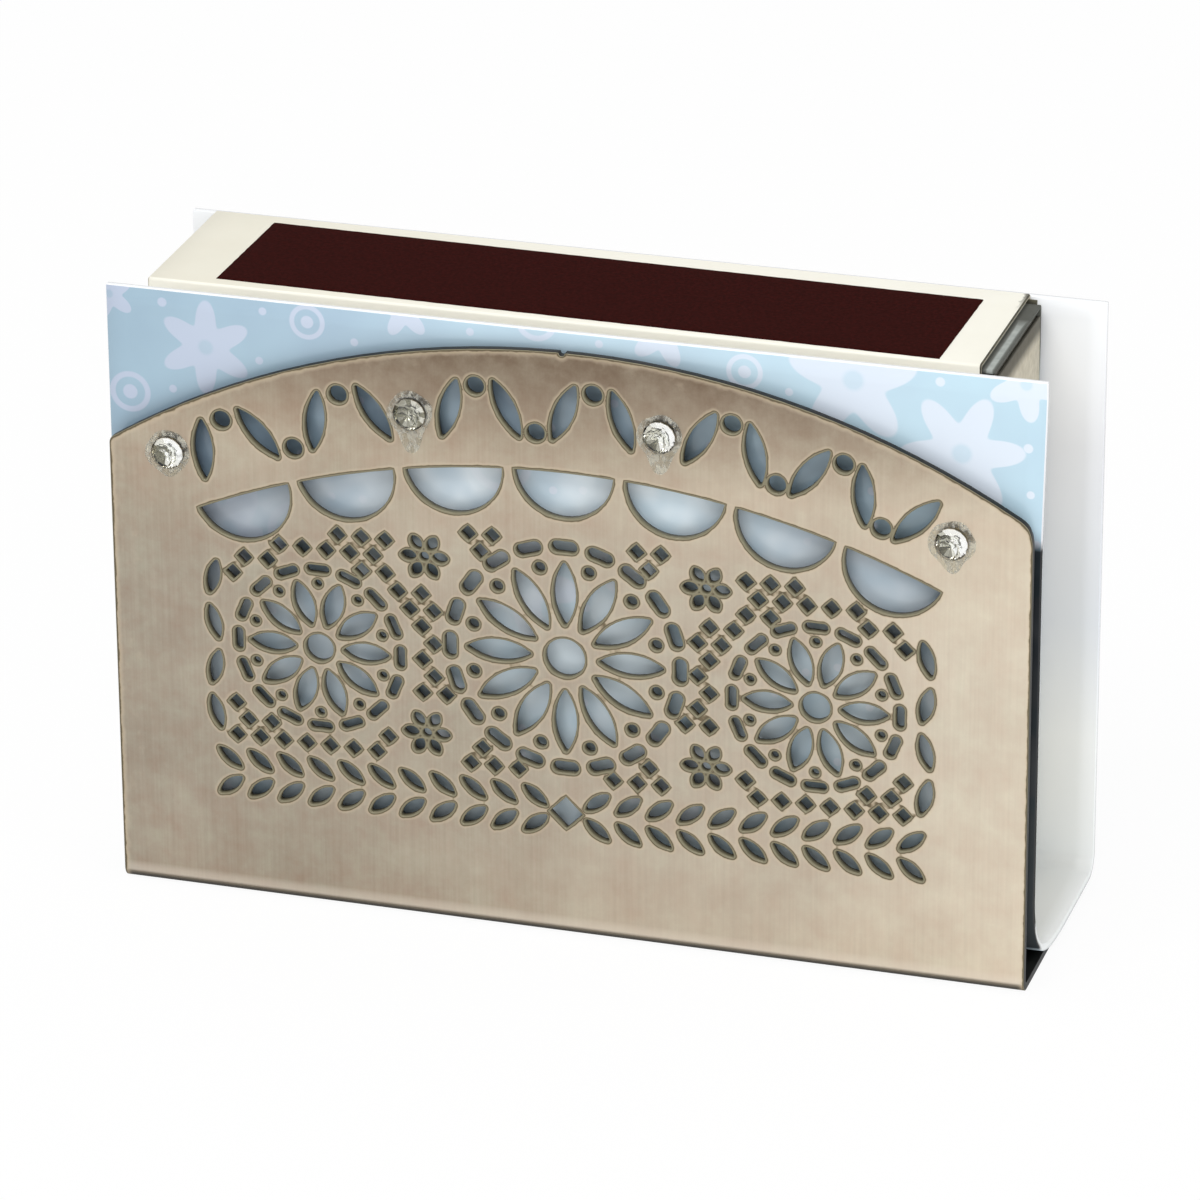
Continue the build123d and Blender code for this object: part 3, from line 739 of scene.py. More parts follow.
def flat_outlines(node, axis, level, keep):
    """Closed outlines of the flat face of a CAD node at a level on an axis."""
    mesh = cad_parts[node].data
    spots = np.array([vertex.co for vertex in mesh.vertices]) / MM
    keys = [tuple(key) for key in np.round(spots * 1000).astype(int)]
    on_face = np.abs(spots[:, axis] - level) < 0.002
    uses = {}
    for polygon in mesh.polygons:
        corners = list(polygon.vertices)
        if all(on_face[corner] for corner in corners):
            for here, there in around(corners):
                side = tuple(sorted((keys[here], keys[there])))
                uses[side] = uses.get(side, 0) + 1
    neighbours = {}
    for (here, there), count in uses.items():
        if count == 1:
            neighbours.setdefault(here, []).append(there)
            neighbours.setdefault(there, []).append(here)
    outlines = []
    seen = set()
    for start in sorted(neighbours):
        if start in seen:
            continue
        loop, last, here = [start], None, start
        seen.add(start)
        while True:
            ahead = [spot for spot in neighbours[here] if spot != last and spot not in seen]
            if not ahead:
                break
            last, here = here, ahead[0]
            loop.append(here)
            seen.add(here)
        outlines.append([(spot[keep[0]] / 1000, spot[keep[1]] / 1000) for spot in loop])
    return outlines


def signed_area(loop):
    return sum(here[0] * there[1] - there[0] * here[1] for here, there in around(loop)) / 2


def size_of(loop):
    return abs(signed_area(loop))


front_loops = sorted(flat_outlines("pierced_plate", 1, plate_low[1], (0, 2)), key=size_of, reverse=True)
floor_loop = max(flat_outlines("pierced_plate", 2, plate_low[2], (0, 1)), key=size_of)
print("openings read from the plate:", len(front_loops) - 1)

# %% The plate laid flat
FOLD_STEPS = 8
fold_run = pi * PLATE_BEND / 2
fold_y = plate_low[1] + PLATE_BEND
fold_levels = even_places(0.0, -fold_run, FOLD_STEPS)


def opened(loop, level):
    """The loop as a path that starts and ends at its two points on the fold line."""
    if signed_area(loop) < 0:
        loop = loop[::-1]
    on_line = [index for index, point in enumerate(loop) if abs(point[1] - level) < 0.01]
    turn = next(index for index in on_line if (index - 1) % len(loop) in on_line)
    return loop[turn:] + loop[:turn]


front_path = [(x, z - PLATE_BEND) for x, z in opened(front_loops[0], PLATE_BEND)]
floor_path = [(x, -fold_run - (y - fold_y)) for x, y in opened(floor_loop, fold_y)][::-1]
left_side = [(front_path[-1][0], level) for level in fold_levels[1:-1]]
right_side = [(front_path[0][0], level) for level in fold_levels[-2:0:-1]]
outline = front_path + left_side + floor_path + right_side
print("outline of the flat plate:", len(outline), "points, area", round(size_of(outline)))

# %% Notch at the top of the arch
NOTCH_X, NOTCH_RADIUS, NOTCH_LIP = -0.1, 0.42, 0.16
NOTCH_STEPS = 12
LIP_STEPS = 3


def with_notch(path):
    """The outline with the small notch at the top of the arch, where the cut ended."""
    top = max(point[1] for point in path)
    arch = [index for index, point in enumerate(path) if point[1] > top - 3]
    before = [path[index] for index in arch if path[index][0] > NOTCH_X + NOTCH_RADIUS]
    after = [path[index] for index in arch if path[index][0] < NOTCH_X - NOTCH_RADIUS]
    level = (before[-1][1] + after[0][1]) / 2
    bite = []
    for step in range(NOTCH_STEPS + 1):
        angle = pi * step / NOTCH_STEPS
        near_end = step < LIP_STEPS or step > NOTCH_STEPS - LIP_STEPS
        lip = NOTCH_LIP * sin(2 * angle) ** 2 if near_end else 0.0
        bite.append((NOTCH_X + NOTCH_RADIUS * cos(angle), level + lip - NOTCH_RADIUS * sin(angle)))
    return path[:arch[0]] + before + bite + after + path[arch[-1] + 1:]


outline = with_notch(outline)
loops = [outline if signed_area(outline) < 0 else outline[::-1]]
for loop in front_loops[1:]:
    loop = [(x, z - PLATE_BEND) for x, z in loop]
    loops.append(loop if signed_area(loop) > 0 else loop[::-1])
loops = [divided(loop, 0.5, closed=True) for loop in loops]
print("points on all cuts:", sum(len(loop) for loop in loops))

# %% Metal between the outlines
CUT_BEVEL = 0.07
RING_DISTANCES = (0.2, 0.4, 0.65, 0.95)
FOLD_PARTS = 20


def shifted(loop, distance):
    """The loop moved into the metal by a distance."""
    return [(point[0] + normal[0] * distance, point[1] + normal[1] * distance)
            for point, normal in zip(loop, right_normals(loop, True))]


def reached(triangles, walls, start):
    """Triangles that can be reached from one of them without crossing a wall."""
    touching = {}
    for number, triangle in enumerate(triangles):
        for side in map(frozenset, around(triangle)):
            touching.setdefault(side, []).append(number)
    kept, queue = {start}, [start]
    while queue:
        for side in map(frozenset, around(triangles[queue.pop()])):
            if side not in walls:
                fresh = [number for number in touching[side] if number not in kept]
                kept.update(fresh)
                queue += fresh
    return [triangles[number] for number in sorted(kept)]


def filled(rings, fold_lines, extra):
    """Triangles between closed rings; returns points, triangles and each ring point's index."""
    flat, sides, ring_starts = [], [], []
    for ring in rings:
        start = len(flat)
        ring_starts.append(start)
        flat += [Vector(point) for point in ring]
        sides += [(start + index, start + (index + 1) % len(ring)) for index in range(len(ring))]
    ring_sides = len(sides)
    for line in fold_lines:
        start = len(flat)
        flat += [Vector(point) for point in line]
        sides += [(start + index, start + index + 1) for index in range(len(line) - 1)]
    flat += [Vector(point) for point in extra]
    points, _, triangles, sources, _, _ = geometry.delaunay_2d_cdt(flat, sides, [], 0, 1e-5)
    index_of = {source: index for index, found in enumerate(sources) for source in found}
    walls = {frozenset((index_of[first], index_of[second])) for first, second in sides[:ring_sides]}
    inside = {index_of[source] for source in range(len(flat) - len(extra), len(flat))}
    start = next(number for number, triangle in enumerate(triangles) if inside & set(triangle))
    return points, reached(triangles, walls, start), index_of, ring_starts


def lines_across(reach):
    """Lines along the fold, from one side of the plate to the other."""
    return [[(across, level) for across in even_places(-reach, reach, FOLD_PARTS)] for level in fold_levels]


cut_points = [point for loop in loops for point in loop]
nearest_cut = kdtree.KDTree(len(cut_points))
for index, point in enumerate(cut_points):
    nearest_cut.insert((*point, 0), index)
nearest_cut.balance()
ring_points = []
for distance_in in RING_DISTANCES:
    for number, loop in enumerate(loops):
        for point in shifted(loop, distance_in)[::1 if number else 2]:
            if nearest_cut.find((*point, 0))[2] > 0.85 * distance_in:
                ring_points.append(point)
half_width = max(point[0] for point in outline)
front_fill = filled([shifted(loop, CUT_BEVEL) for loop in loops], lines_across(half_width - CUT_BEVEL),
                    ring_points)
back_fill = filled(loops, lines_across(half_width), ring_points[:40])
print("triangles of the front and back skins:", len(front_fill[1]), len(back_fill[1]))

# %% Folding the plate
TRIM_FROM, TRIM_SHARE = 58.5, 0.67  # the right edge is drawn in a little
WALL_HEAT = 0.12  # as this distance from a cut, so the walls of the openings are olive
SIDE_HEAT_OFFSET, SIDE_HEAT_SPREAD = 0.2, 0.6  # the outer border has a narrower tint
SHADED_BACK_TOP = 4.0  # the back of the plate is painted dark as shade up to this height over its fold

plate_points, plate_faces, cut_distances, plate_marks = [], [], [], []


def folded_place(across, along, depth):
    """Point of the folded plate from its place on the flat sheet and its depth in the metal."""
    if across > TRIM_FROM:
        across = TRIM_FROM + (across - TRIM_FROM) * TRIM_SHARE
    if along >= 0:
        return across, plate_low[1] + depth, PLATE_BEND + along
    if along >= -fold_run:
        angle = -along / PLATE_BEND
        reach = PLATE_BEND - depth
        return across, fold_y - reach * cos(angle), PLATE_BEND - reach * sin(angle)
    return across, fold_y - along - fold_run, depth


def add_point(across, along, depth, distance_in):
    plate_points.append(folded_place(across, along, depth))
    plate_marks.append((along, depth))
    cut_distances.append(distance_in)
    return len(plate_points) - 1


skins = []
for (points, triangles, index_of, ring_starts), depth in ((front_fill, 0.0), (back_fill, PLATE_THICKNESS)):
    place_of = {}
    for corner in sorted({corner for triangle in triangles for corner in triangle}):
        spot = points[corner]
        _, source, distance_in = nearest_cut.find((*spot, 0))
        if source < len(loops[0]) and depth == 0:
            distance_in = SIDE_HEAT_OFFSET + SIDE_HEAT_SPREAD * distance_in
        place_of[corner] = add_point(*spot, depth, distance_in)
    for triangle in triangles:
        corners = tuple(place_of[corner] for corner in triangle)
        plate_faces.append(corners if depth == 0 else corners[::-1])
    skins.append([[place_of[index_of[start + index]] for index in range(len(loop))]
                  for start, loop in zip(ring_starts, loops)])

for number, (loop, front_ring, back_ring) in enumerate(zip(loops, *skins)):
    wall_ring = [add_point(*point, CUT_BEVEL, WALL_HEAT if number else 0.0) for point in loop]
    for front, wall, back in zip(around(front_ring), around(wall_ring), around(back_ring)):
        plate_faces += [(*front, *wall[::-1]), (*wall, *back[::-1])]

plate = make_piece("steel_plate", plate_points, plate_faces, 60.0)
store_values(plate, "cut_distance", cut_distances)
plate.data.materials.append(steel.material)
plate.data.materials.append(shaded_steel_back.material)
for polygon in plate.data.polygons:
    marks = [plate_marks[corner] for corner in polygon.vertices]
    if all(depth > PLATE_THICKNESS / 2 and along < SHADED_BACK_TOP for along, depth in marks):
        polygon.material_index = 1
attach(plate, "holder")
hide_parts("pierced_plate")
print("plate:", len(plate.data.vertices), "points,", len(plate.data.polygons), "faces")

# %% [markdown]
# ## The matchbox sleeve and its striking strips
# A kitchen matchbox has a sleeve of one card wrapped round and glued, open at both
# ends. The strips lie on its two long narrow sides and stop short of the ends.

# %% Sleeve
CARD = 0.5
SLEEVE_EDGE = 0.4

sleeve_low, sleeve_high = box_mm("matchbox_sleeve")
sleeve_corners = [(sleeve_low[1], sleeve_low[2]), (sleeve_low[1], sleeve_high[2]),
                  (sleeve_high[1], sleeve_high[2]), (sleeve_high[1], sleeve_low[2])]
sleeve_path = rounded_path(sleeve_corners, (SLEEVE_EDGE,) * 4, closed=True, steps=6)
sleeve, sleeve_marks = folded_sheet("sleeve_card", divided(sleeve_path, 5.0, closed=True), CARD,
                                    even_places(sleeve_low[0], sleeve_high[0], 30), along_box,
                                    rim=0.18, closed=True)
for finish in (card, board, dark_card):
    sleeve.data.materials.append(finish.material)
for polygon in sleeve.data.polygons:
    faces_seen = [sleeve_marks[corner][2] for corner in polygon.vertices]
    if all(face == 1 for face in faces_seen):
        polygon.material_index = 1
    elif any(face == 1 for face in faces_seen):
        polygon.material_index = 2 if sleeve_marks[polygon.vertices[0]][1] > 0 else 1
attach(sleeve, "matchbox")
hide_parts("matchbox_sleeve")
print("sleeve:", rounded(sleeve_low, sleeve_high))

# %% Glued lap inside the sleeve
LAP, LAP_WIDTH, LAP_GAP = 0.3, 5.1, 0.1
LAP_PROUD = 1.0

lap_y = sleeve_high[1] - CARD - LAP - 0.02
lap_top = sleeve_high[2] - CARD - LAP_GAP
lap_path = divided([(lap_y, lap_top), (lap_y, sleeve_high[2] - LAP_GAP - LAP_WIDTH)], 1.0)
lap, _ = folded_sheet("sleeve_lap", lap_path[::-1], LAP,
                      even_places(sleeve_low[0] + 2, sleeve_high[0] + LAP_PROUD, 24), along_box, rim=0.05)
lap.data.materials.append(dark_card.material)
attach(lap, "matchbox")
print("lap: stands", LAP_PROUD, "mm out of the sleeve")

# %% Striking strips
STRIP_LENGTH, STRIP_WIDTH = 93.4, 20.9
STRIP_TURN = radians(-0.85)
STRIP_COLUMNS, STRIP_ROWS = 180, 42
BORDER_HEIGHT = 0.35


def strip_spot(row, column):
    """Place on the strip, and height as a share of its thickness."""
    border = column in (0, STRIP_COLUMNS) or row in (0, STRIP_ROWS)
    across = STRIP_LENGTH * (column / STRIP_COLUMNS - 0.5)
    along = STRIP_WIDTH * (row / STRIP_ROWS - 0.5)
    drawn_in = 0.07 + 0.06 * noise.noise(Vector((across * 0.9, along * 0.9, 3.0)))
    if column in (0, STRIP_COLUMNS):
        across += drawn_in * (1 if column == 0 else -1)
    if row in (0, STRIP_ROWS):
        along += drawn_in * (1 if row == 0 else -1)
    grit = 0.8 + 0.2 * noise.noise(Vector((across * 3.1, along * 3.1, 7.0)))
    return across, along, BORDER_HEIGHT if border else min(grit, 1.0)


def striking_strip(name, node, upward):
    """Thin gritty layer with slightly uneven edges, a little askew on the card."""
    low, high = box_mm(node)
    middle_x, middle_y = (low[0] + high[0]) / 2, (low[1] + high[1]) / 2
    base, top = (low[2], high[2]) if upward else (high[2], low[2])
    points, faces = [], []
    for layer in (0, 1):
        for row in range(STRIP_ROWS + 1):
            for column in range(STRIP_COLUMNS + 1):
                across, along, height = strip_spot(row, column)
                points.append((middle_x + across * cos(STRIP_TURN) - along * sin(STRIP_TURN),
                               middle_y + across * sin(STRIP_TURN) + along * cos(STRIP_TURN),
                               base + (top - base) * height * layer))

    def at(layer, row, column):
        return (layer * (STRIP_ROWS + 1) + row) * (STRIP_COLUMNS + 1) + column

    for row in range(STRIP_ROWS):
        for column in range(STRIP_COLUMNS):
            spots = ((row, column), (row, column + 1), (row + 1, column + 1), (row + 1, column))
            faces.append([at(1, *spot) for spot in spots])
            faces.append([at(0, *spot) for spot in (spots[0], spots[3], spots[2], spots[1])])
    border = [(0, column) for column in range(STRIP_COLUMNS)]
    border += [(row, STRIP_COLUMNS) for row in range(STRIP_ROWS)]
    border += [(STRIP_ROWS, column) for column in range(STRIP_COLUMNS, 0, -1)]
    border += [(row, 0) for row in range(STRIP_ROWS, 0, -1)]
    for here, there in around(border):
        faces.append([at(0, *here), at(0, *there), at(1, *there), at(1, *here)])
    strip = make_piece(name, points, faces if upward else [face[::-1] for face in faces], 60.0)
    strip.data.materials.append(strip_finish.material)
    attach(strip, "matchbox")
    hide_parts(node)


striking_strip("upper_strip", "upper_striker", True)
striking_strip("lower_strip", "lower_striker", False)
print("strips: two, each", [round(high - low, 2) for low, high in zip(*box_mm("upper_striker"))])

# %% [markdown]
# ## The tray
# The tray is folded board: a bottom with two long walls, and end walls folded over
# themselves, so that their rims are round and double. It lies on its side in the
# trough, with its open side to the front.

# %% Tray
TRAY_EDGE = 0.55
END_FOLD, END_CARD = 0.48, 0.42
CORNER_GAP = 1.0

tray_low, tray_high = box_mm("matchbox_tray")
tray_corners = [(tray_low[1], tray_high[2]), (tray_high[1], tray_high[2]),
                (tray_high[1], tray_low[2]), (tray_low[1], tray_low[2])]
tray_path = divided(rounded_path(tray_corners, (TRAY_EDGE, TRAY_EDGE), steps=5), 6.0)
tray_parts = [folded_sheet("tray_trough", tray_path, CARD, even_places(tray_low[0], tray_high[0], 20),
                           along_box, rim=0.07)[0]]
wall_sweep = even_places(tray_low[2] + CARD + 0.05, tray_high[2] - CARD - CORNER_GAP, 14)
for name, outer, inward in (("tray_end_left", tray_low[0], 1), ("tray_end_right", tray_high[0], -1)):
    inner = outer + inward * 2 * END_FOLD
    wall_corners = [(outer, tray_high[1] - CARD), (outer, tray_low[1]), (inner, tray_low[1]),
                    (inner, tray_high[1] - CARD)]
    wall_path = divided(rounded_path(wall_corners, (END_FOLD, END_FOLD), steps=6), 5.0)
    tray_parts.append(folded_sheet(name, wall_path[::inward * -1], END_CARD, wall_sweep,
                                   lambda *spot: spot, rim=0.06)[0])
for part in tray_parts:
    part.data.materials.append(grey_board.material if part is tray_parts[0] else end_board.material)
    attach(part, "tray")
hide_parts("matchbox_tray")
print("tray:", rounded(tray_low, tray_high))

# %% [markdown]
# ## The matches
# Seventy wooden matches lie in the tray with their heads to the right. A splint is
# never quite straight or square, and its head is dipped, so each one is drawn with its
# own small turn, bow and drop.

# %% Shape of a match
MATCH_ROWS, MATCH_COLUMNS = 10, 7
STICK = 2.1
SPLINT_SECTIONS = ((0, 0.9), (0.002, 1), (0.35, 1), (0.7, 1), (1, 1))  # share of length, of thickness
SPLINT_ANGLES = [quarter * pi / 2 + pi / 4 * share for quarter in range(4) for share in (0.86, 1.14)]
CORNER_REACH = 1.3  # from the middle to a corner, as a share of half the thickness
HEAD_STEPS, HEAD_CORNERS = 10, 14


def add_tube(points, faces, sections):
    """Closed tube through sections with the same number of points."""
    start, count = len(points), len(sections[0])
    for section in sections:
        points += section
    for row in range(len(sections) - 1):
        for column in range(count):
            after = (column + 1) % count
            faces.append((start + row * count + column, start + row * count + after,
                          start + (row + 1) * count + after, start + (row + 1) * count + column))
    faces.append(tuple(start + column for column in range(count))[::-1])
    faces.append(tuple(start + (len(sections) - 1) * count + column for column in range(count)))


def head_sections(tip_x, head_y, head_z, length, radius, neck, number):
    """Drop of match head round the end of a splint, with small lumps."""
    sections = []
    for step in range(HEAD_STEPS + 1):
        share = step / HEAD_STEPS
        swell = sqrt(max(1 - (2 * share ** 0.85 - 1) ** 2, 0)) * (1.0 if share > 0.5 else 0.9 + 0.2 * share)
        section = []
        for corner in range(HEAD_CORNERS):
            angle = 2 * pi * corner / HEAD_CORNERS
            lump = 1 + 0.04 * noise.noise(Vector((share * 3, corner * 0.7, number)))
            reach = max(radius * swell * min(lump, 1.0), 0.03, neck if share < 0.25 else 0.0)
            section.append((tip_x - length * (1 - share), head_y + reach * cos(angle),
                            head_z + reach * sin(angle)))
        sections.append(section)
    return sections


print("match: splint", STICK, "mm thick")

# %% Matches
seeded = Random(27)
sticks_low, sticks_high = box_mm("match_sticks")
heads_low, heads_high = box_mm("match_heads")
row_pitch = (sticks_high[2] - sticks_low[2] - STICK) / (MATCH_ROWS - 1)
column_pitch = (sticks_high[1] - sticks_low[1] - STICK) / (MATCH_COLUMNS - 1)
head_length = heads_high[0] - heads_low[0]
head_radius = (heads_high[2] - heads_low[2] - row_pitch * (MATCH_ROWS - 1)) / 2
tip_x = sticks_high[0] - 0.4
stick_points, stick_faces, head_points, head_faces = [], [], [], []
for row in range(MATCH_ROWS):
    for column in range(MATCH_COLUMNS):
        head_y = sticks_low[1] + STICK / 2 + column * column_pitch + seeded.uniform(-0.04, 0.04)
        head_z = sticks_low[2] + STICK / 2 + row * row_pitch + seeded.uniform(-0.04, 0.04)
        tail_y = head_y + seeded.uniform(-0.3, 0.3)
        tail_z = head_z + seeded.uniform(-0.3, 0.3)
        bow_y, bow_z = seeded.uniform(-0.12, 0.12), seeded.uniform(-0.12, 0.12)
        turn = seeded.uniform(-0.14, 0.14)
        half = STICK / 2 * seeded.uniform(0.93, 1.0)
        tail_x = sticks_low[0] + seeded.uniform(0.1, 1.2)
        sections = []
        for step, grown in SPLINT_SECTIONS:
            bow = 4 * step * (1 - step)
            middle_y = tail_y + (head_y - tail_y) * step + bow_y * bow
            middle_z = tail_z + (head_z - tail_z) * step + bow_z * bow
            reach = half * grown * CORNER_REACH
            sections.append([(tail_x + (tip_x - tail_x) * step, middle_y + reach * cos(angle + turn),
                              middle_z + reach * sin(angle + turn)) for angle in SPLINT_ANGLES])
        add_tube(stick_points, stick_faces, sections)
        length = head_length * seeded.uniform(0.86, 1.0)
        radius = head_radius * seeded.uniform(0.93, 1.0)
        add_tube(head_points, head_faces, head_sections(heads_high[0], head_y, head_z, length, radius,
                                                        half * 1.02, row * 5 + column))
sticks = make_piece("match_splints", stick_points, stick_faces, 40.0)
heads = make_piece("match_tips", head_points, head_faces, 70.0)
sticks.data.materials.append(wood.material)
heads.data.materials.append(head_finish.material)
for piece, node, slot_name in ((sticks, "match_sticks", "match_wood"), (heads, "match_heads", "match_head")):
    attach(piece, "tray")
    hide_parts(node)
print("matches:", MATCH_ROWS * MATCH_COLUMNS)

# %% [markdown]
# ## Crystals in clear glue
# Each crystal is a round brilliant cut: a table, star, kite and girdle facets above, and
# a shallow silvered back that sits in the glue. The glue stands up round the girdle and
# has run a little way down the plate before it set.

# %% Crystals
TABLE_SHARE, STAR_SHARE, GIRDLE_SHARE = 0.56, 0.78, 0.995
GIRDLE_FRONT, GIRDLE_BACK, CULET_DEPTH = 0.42, 0.22, 0.28
TABLE, BEZEL, GIRDLE, LOWER, CULET = 0, 8, 16, 32, 48  # first point of each ring


def round_centre(low, high):
    """Middle of a round piece on the plate, and its radius."""
    return (low[0] + high[0]) / 2, (low[2] + high[2]) / 2, (high[2] - low[2]) / 2


def facets():
    """Faces of the cut: crown and girdle first, then the facets of the silvered back."""
    faces = [tuple(range(8))]
    for step in range(8):
        after = (step + 1) % 8
        faces.append((TABLE + step, BEZEL + step, TABLE + after))
        main, between, main_after = GIRDLE + 2 * step, GIRDLE + 2 * step + 1, GIRDLE + 2 * after
        faces.append((BEZEL + (step - 1) % 8, TABLE + step, BEZEL + step, main)[::-1])
        faces.append((BEZEL + step, main, between))
        faces.append((BEZEL + step, between, main_after))
    for step in range(16):
        after = (step + 1) % 16
        faces.append((GIRDLE + step, LOWER + step, LOWER + after, GIRDLE + after))
    silvered = [(LOWER + step, CULET, LOWER + (step + 1) % 16) for step in range(16)]
    return faces + silvered, len(faces)


def brilliant(name, node, turn, dim_glints):
    """Cut crystal that faces the front, in the place of its CAD node; one with dim glints has darker painted
    reflections on its foil.
    """
    low, high = box_mm(node)
    centre_x, centre_z, radius = round_centre(low, high)
    front, back = low[1], high[1]
    girdle_front = back - GIRDLE_FRONT
    points = []
    for count, share, depth, shift in ((8, TABLE_SHARE, front, 0.0),
                                       (8, STAR_SHARE, front + (girdle_front - front) * 0.5, 0.5),
                                       (16, GIRDLE_SHARE, girdle_front, 0.0),
                                       (16, GIRDLE_SHARE, back - GIRDLE_BACK, 0.0)):
        for step in range(count):
            angle = turn + 2 * pi * (step + shift) / count
            points.append((centre_x + radius * share * cos(angle), depth,
                           centre_z + radius * share * sin(angle)))
    points.append((centre_x, back + CULET_DEPTH, centre_z))
    faces, first_silvered = facets()
    gem = placed_object(name, mesh_of(name, points, faces))
    gem.data.materials.append(glass.material)
    gem.data.materials.append(foil.material)
    chance = Random(name)
    # Painted reflection on the foil: facets on one side glint brighter, and a crystal with dim glints stays
    # grey.
    tones = [0.5] * len(faces)
    for index in range(first_silvered, len(faces)):
        gem.data.polygons[index].material_index = 1
        across = cos(2 * pi * (index - first_silvered + 0.5) / 16 + turn - 0.5)
        bright = 0.4 + 0.1 * across if dim_glints else 0.74 + 0.5 * across
        tones[index] = clipped(bright + chance.uniform(-0.2, 0.2))
    facet_glint = gem.data.attributes.new("facet_glint", "FLOAT", "FACE")
    facet_glint.data.foreach_set("value", tones)
    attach(gem, "holder")
    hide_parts(node)


print("facets of a crystal:", len(facets()[0]))

# %% Puddles of glue
GLUE_RUNS = (0.6, 2.6, 2.2, 1.4)  # how far each puddle has run down
PUDDLE_RINGS, PUDDLE_STEPS = 18, 80
LEAST_HEIGHT, OFF_PLATE = 0.012, 0.006


def glue_puddle(name, node, seed):
    """Clear puddle round a crystal, with a run below it."""
    low, high = box_mm(node)
    centre_x, centre_z, radius = round_centre(low, high)
    points, faces, rim_shares = [], [], []
    for side in (0, 1):
        for ring in range(1, PUDDLE_RINGS + 1):
            share = ring / PUDDLE_RINGS
            for step in range(PUDDLE_STEPS):
                angle = 2 * pi * step / PUDDLE_STEPS
                wobble = noise.noise(Vector((cos(angle) * 1.3, sin(angle) * 1.3, seed)))
                edge = radius * (1.0 + 0.1 * wobble) + 0.35 * max(0.0, -cos(angle - 0.4)) ** 2
                below = max(0.0, -sin(angle + 0.08 * sin(3.0 * seed))) ** 14
                reach = (edge + GLUE_RUNS[seed - 1] * below) * share
                ripple = noise.noise(Vector((reach * cos(angle) * 2.4, reach * sin(angle) * 2.4, seed * 3.1)))
                height = (high[1] - low[1]) * (1 - share ** 3) * (1 - 0.35 * below)
                height = max(height * min(0.8 + 0.5 * ripple, 1.0), LEAST_HEIGHT) if side == 0 else 0.0
                points.append((centre_x + reach * cos(angle), high[1] - OFF_PLATE - height,
                               centre_z + reach * sin(angle)))
                rim_shares.append(reach / radius)

    def at(side, ring, step):
        return (side * PUDDLE_RINGS + ring) * PUDDLE_STEPS + step % PUDDLE_STEPS

    last = PUDDLE_RINGS - 1
    for ring in range(last):
        for step in range(PUDDLE_STEPS):
            for side, order in ((0, -1), (1, 1)):
                faces.append((at(side, ring, step), at(side, ring, step + 1),
                              at(side, ring + 1, step + 1), at(side, ring + 1, step))[::order])
    for step in range(PUDDLE_STEPS):
        faces.append((at(1, last, step), at(1, last, step + 1), at(0, last, step + 1), at(0, last, step)))
    for side, order in ((0, -1), (1, 1)):
        faces.append(tuple(at(side, 0, step) for step in range(PUDDLE_STEPS))[::order])
    puddle = make_piece(name, points, faces, 70.0)
    store_values(puddle, "rim_share", rim_shares)
    puddle.data.materials.append(glue.material)
    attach(puddle, "holder")
    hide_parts(node)


for number in range(1, 5):
    brilliant(f"cut_crystal_{number}", f"crystal_{number}", 0.3 + 0.37 * number, number == 2)
    glue_puddle(f"glue_puddle_{number}", f"glue_bed_{number}", number)
print("crystals in glue: 4")

# %% Tape under the liner
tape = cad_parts["bonding_tape"]
tape.data.materials.clear()
tape.data.materials.append(tape_finish.material)
print("tape:", rounded(*box_mm("bonding_tape")))

# %% [markdown]
# ## Camera, light and background
# The camera stands where the photograph was taken: a little to the right and above,
# with a long lens. The background is plain white, and the light comes from a large
# soft source above the camera.

# %% Camera
CAMERA_DISTANCE = 0.8478
SENSOR = 36.0
FOCAL_SHARE = 6883.4 / 1200  # focal length over the picture's width

azimuth, elevation, roll = radians(17.159), radians(23.519), radians(-0.362)
target = Vector((4.605, -16.1, 46.663)) * MM
away = Vector((sin(azimuth) * cos(elevation), -cos(azimuth) * cos(elevation), sin(elevation)))
level = Vector((cos(azimuth), sin(azimuth), 0))
upright = away.cross(level)
right = cos(roll) * level + sin(roll) * upright
upward = -sin(roll) * level + cos(roll) * upright
stand = Matrix((right, upward, away)).transposed().to_4x4()
stand.translation = target + away * CAMERA_DISTANCE
camera_data = bpy.data.cameras.new("camera")
camera_data.sensor_width = SENSOR
camera_data.lens = SENSOR * FOCAL_SHARE
camera_data.clip_start = 0.01
camera = placed_object("camera", camera_data)
camera.matrix_world = stand
bpy.context.scene.camera = camera
print("camera:", round(camera_data.lens, 1), "mm lens")

# %% Lamps
def area_lamp(name, spot, aim, size, power):
    lamp_data = bpy.data.lights.new(name, "AREA")
    lamp_data.shape = "RECTANGLE"
    lamp_data.size, lamp_data.size_y = size
    lamp_data.energy = power
    lamp = placed_object(name, lamp_data)
    lamp.location = spot
    lamp.rotation_euler = (Vector(aim) - Vector(spot)).to_track_quat("-Z", "Y").to_euler()


area_lamp("key", (-0.15, -0.75, 1.15), (0, 0, 0.04), (0.7, 0.5), 7.6)
area_lamp("side_fill", (0.75, -0.5, 0.2), (0.06, 0, 0.03), (0.3, 0.3), 1.5)
print("lamps:", [lamp.name for lamp in bpy.data.lights])

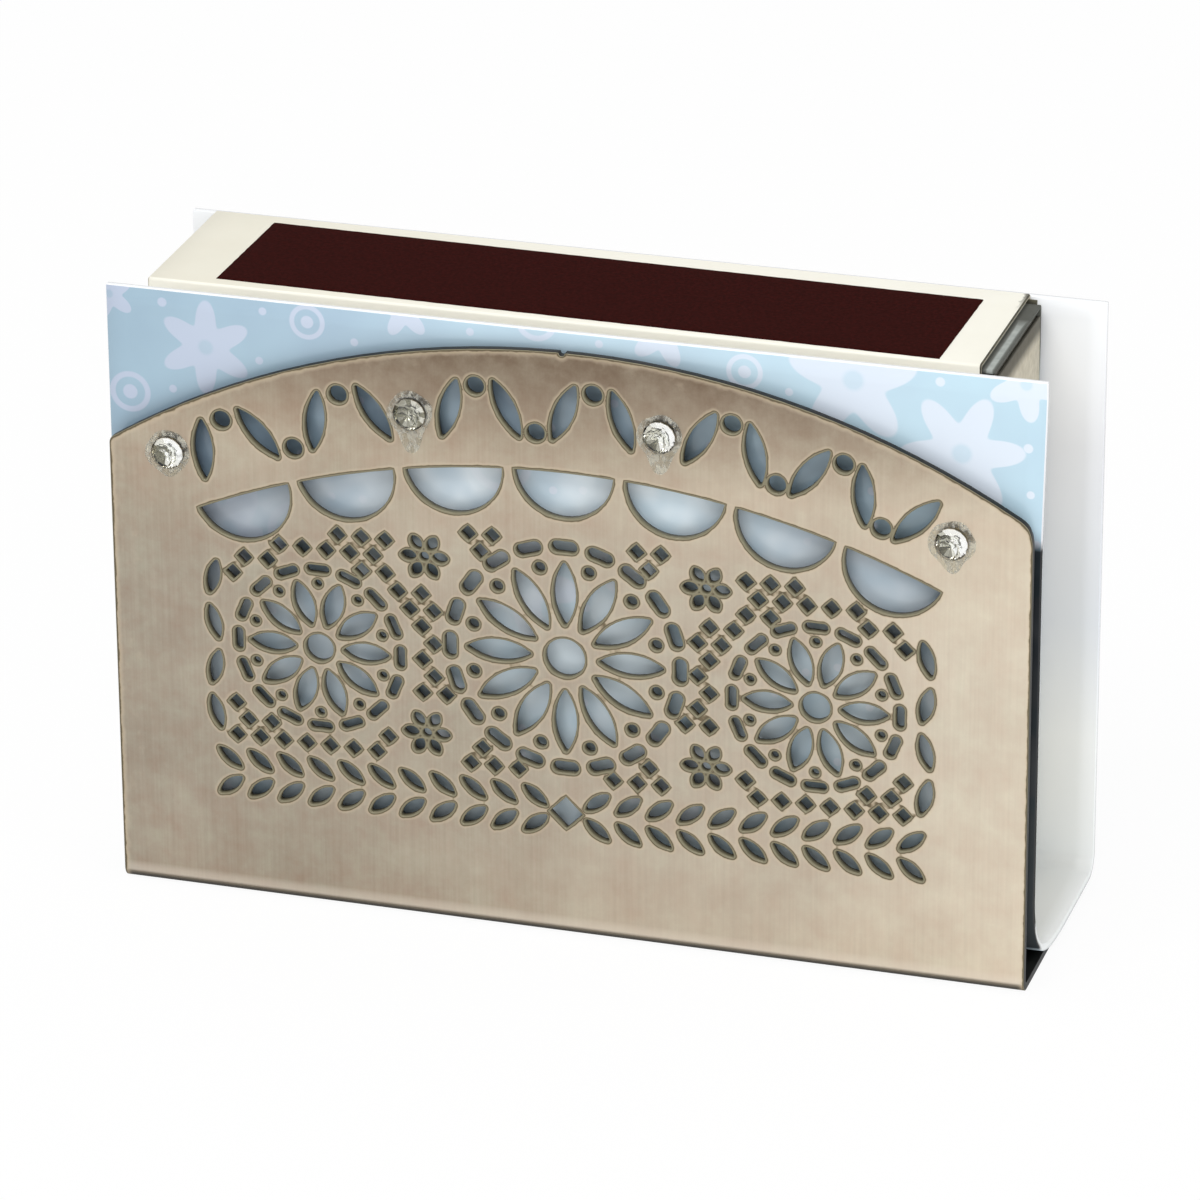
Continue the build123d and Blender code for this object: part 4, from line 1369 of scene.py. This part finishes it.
# %% World
WHITE = (1.0, 1.0, 1.0, 1.0)
SKY_STRENGTH, BACKDROP_STRENGTH = 0.64, 1.0

world = bpy.data.worlds.new("studio")
bpy.context.scene.world = world
world.use_nodes = True
tree = world.node_tree
tree.nodes.clear()
rays = new_node(tree, "ShaderNodeLightPath").outputs
mirrored = new_node(tree, "ShaderNodeMath", {"operation": "MAXIMUM"},
                    (rays["Is Glossy Ray"], rays["Is Transmission Ray"]))
seen = new_node(tree, "ShaderNodeMath", {"operation": "MAXIMUM"},
                (rays["Is Camera Ray"], mirrored.outputs[0]))
sky = new_node(tree, "ShaderNodeBackground", Color=WHITE, Strength=SKY_STRENGTH)
backdrop = new_node(tree, "ShaderNodeBackground", Color=WHITE, Strength=BACKDROP_STRENGTH)
either = new_node(tree, "ShaderNodeMixShader", inputs=(seen.outputs[0], sky.outputs[0], backdrop.outputs[0]))
new_node(tree, "ShaderNodeOutputWorld", Surface=either.outputs[0])
print("world:", len(tree.nodes), "nodes")

# %% Floor
FLOOR_GLOW = 0.94  # how much of the floor the camera sees as plain white

floor_mesh = bpy.data.meshes.new("floor")
floor_mesh.from_pydata([(-4, -4, 0), (4, -4, 0), (4, 4, 0), (-4, 4, 0)], [], [(0, 1, 2, 3)])
floor = placed_object("floor", floor_mesh)
floor_finish = bpy.data.materials.new("floor")
floor_finish.use_nodes = True
tree = floor_finish.node_tree
tree.nodes.clear()
rays = new_node(tree, "ShaderNodeLightPath").outputs
share = new_node(tree, "ShaderNodeMath", {"operation": "MULTIPLY"}, (rays["Is Camera Ray"], FLOOR_GLOW))
matt = new_node(tree, "ShaderNodeBsdfDiffuse", Color=(0.98, 0.98, 0.98, 1.0))
glow = new_node(tree, "ShaderNodeEmission", Strength=1.0)
blend = new_node(tree, "ShaderNodeMixShader", inputs=(share.outputs[0], matt.outputs[0], glow.outputs[0]))
new_node(tree, "ShaderNodeOutputMaterial", Surface=blend.outputs[0])
floor_mesh.materials.append(floor_finish)
bpy.context.scene.view_settings.view_transform = "Standard"
print("floor:", len(tree.nodes), "nodes")
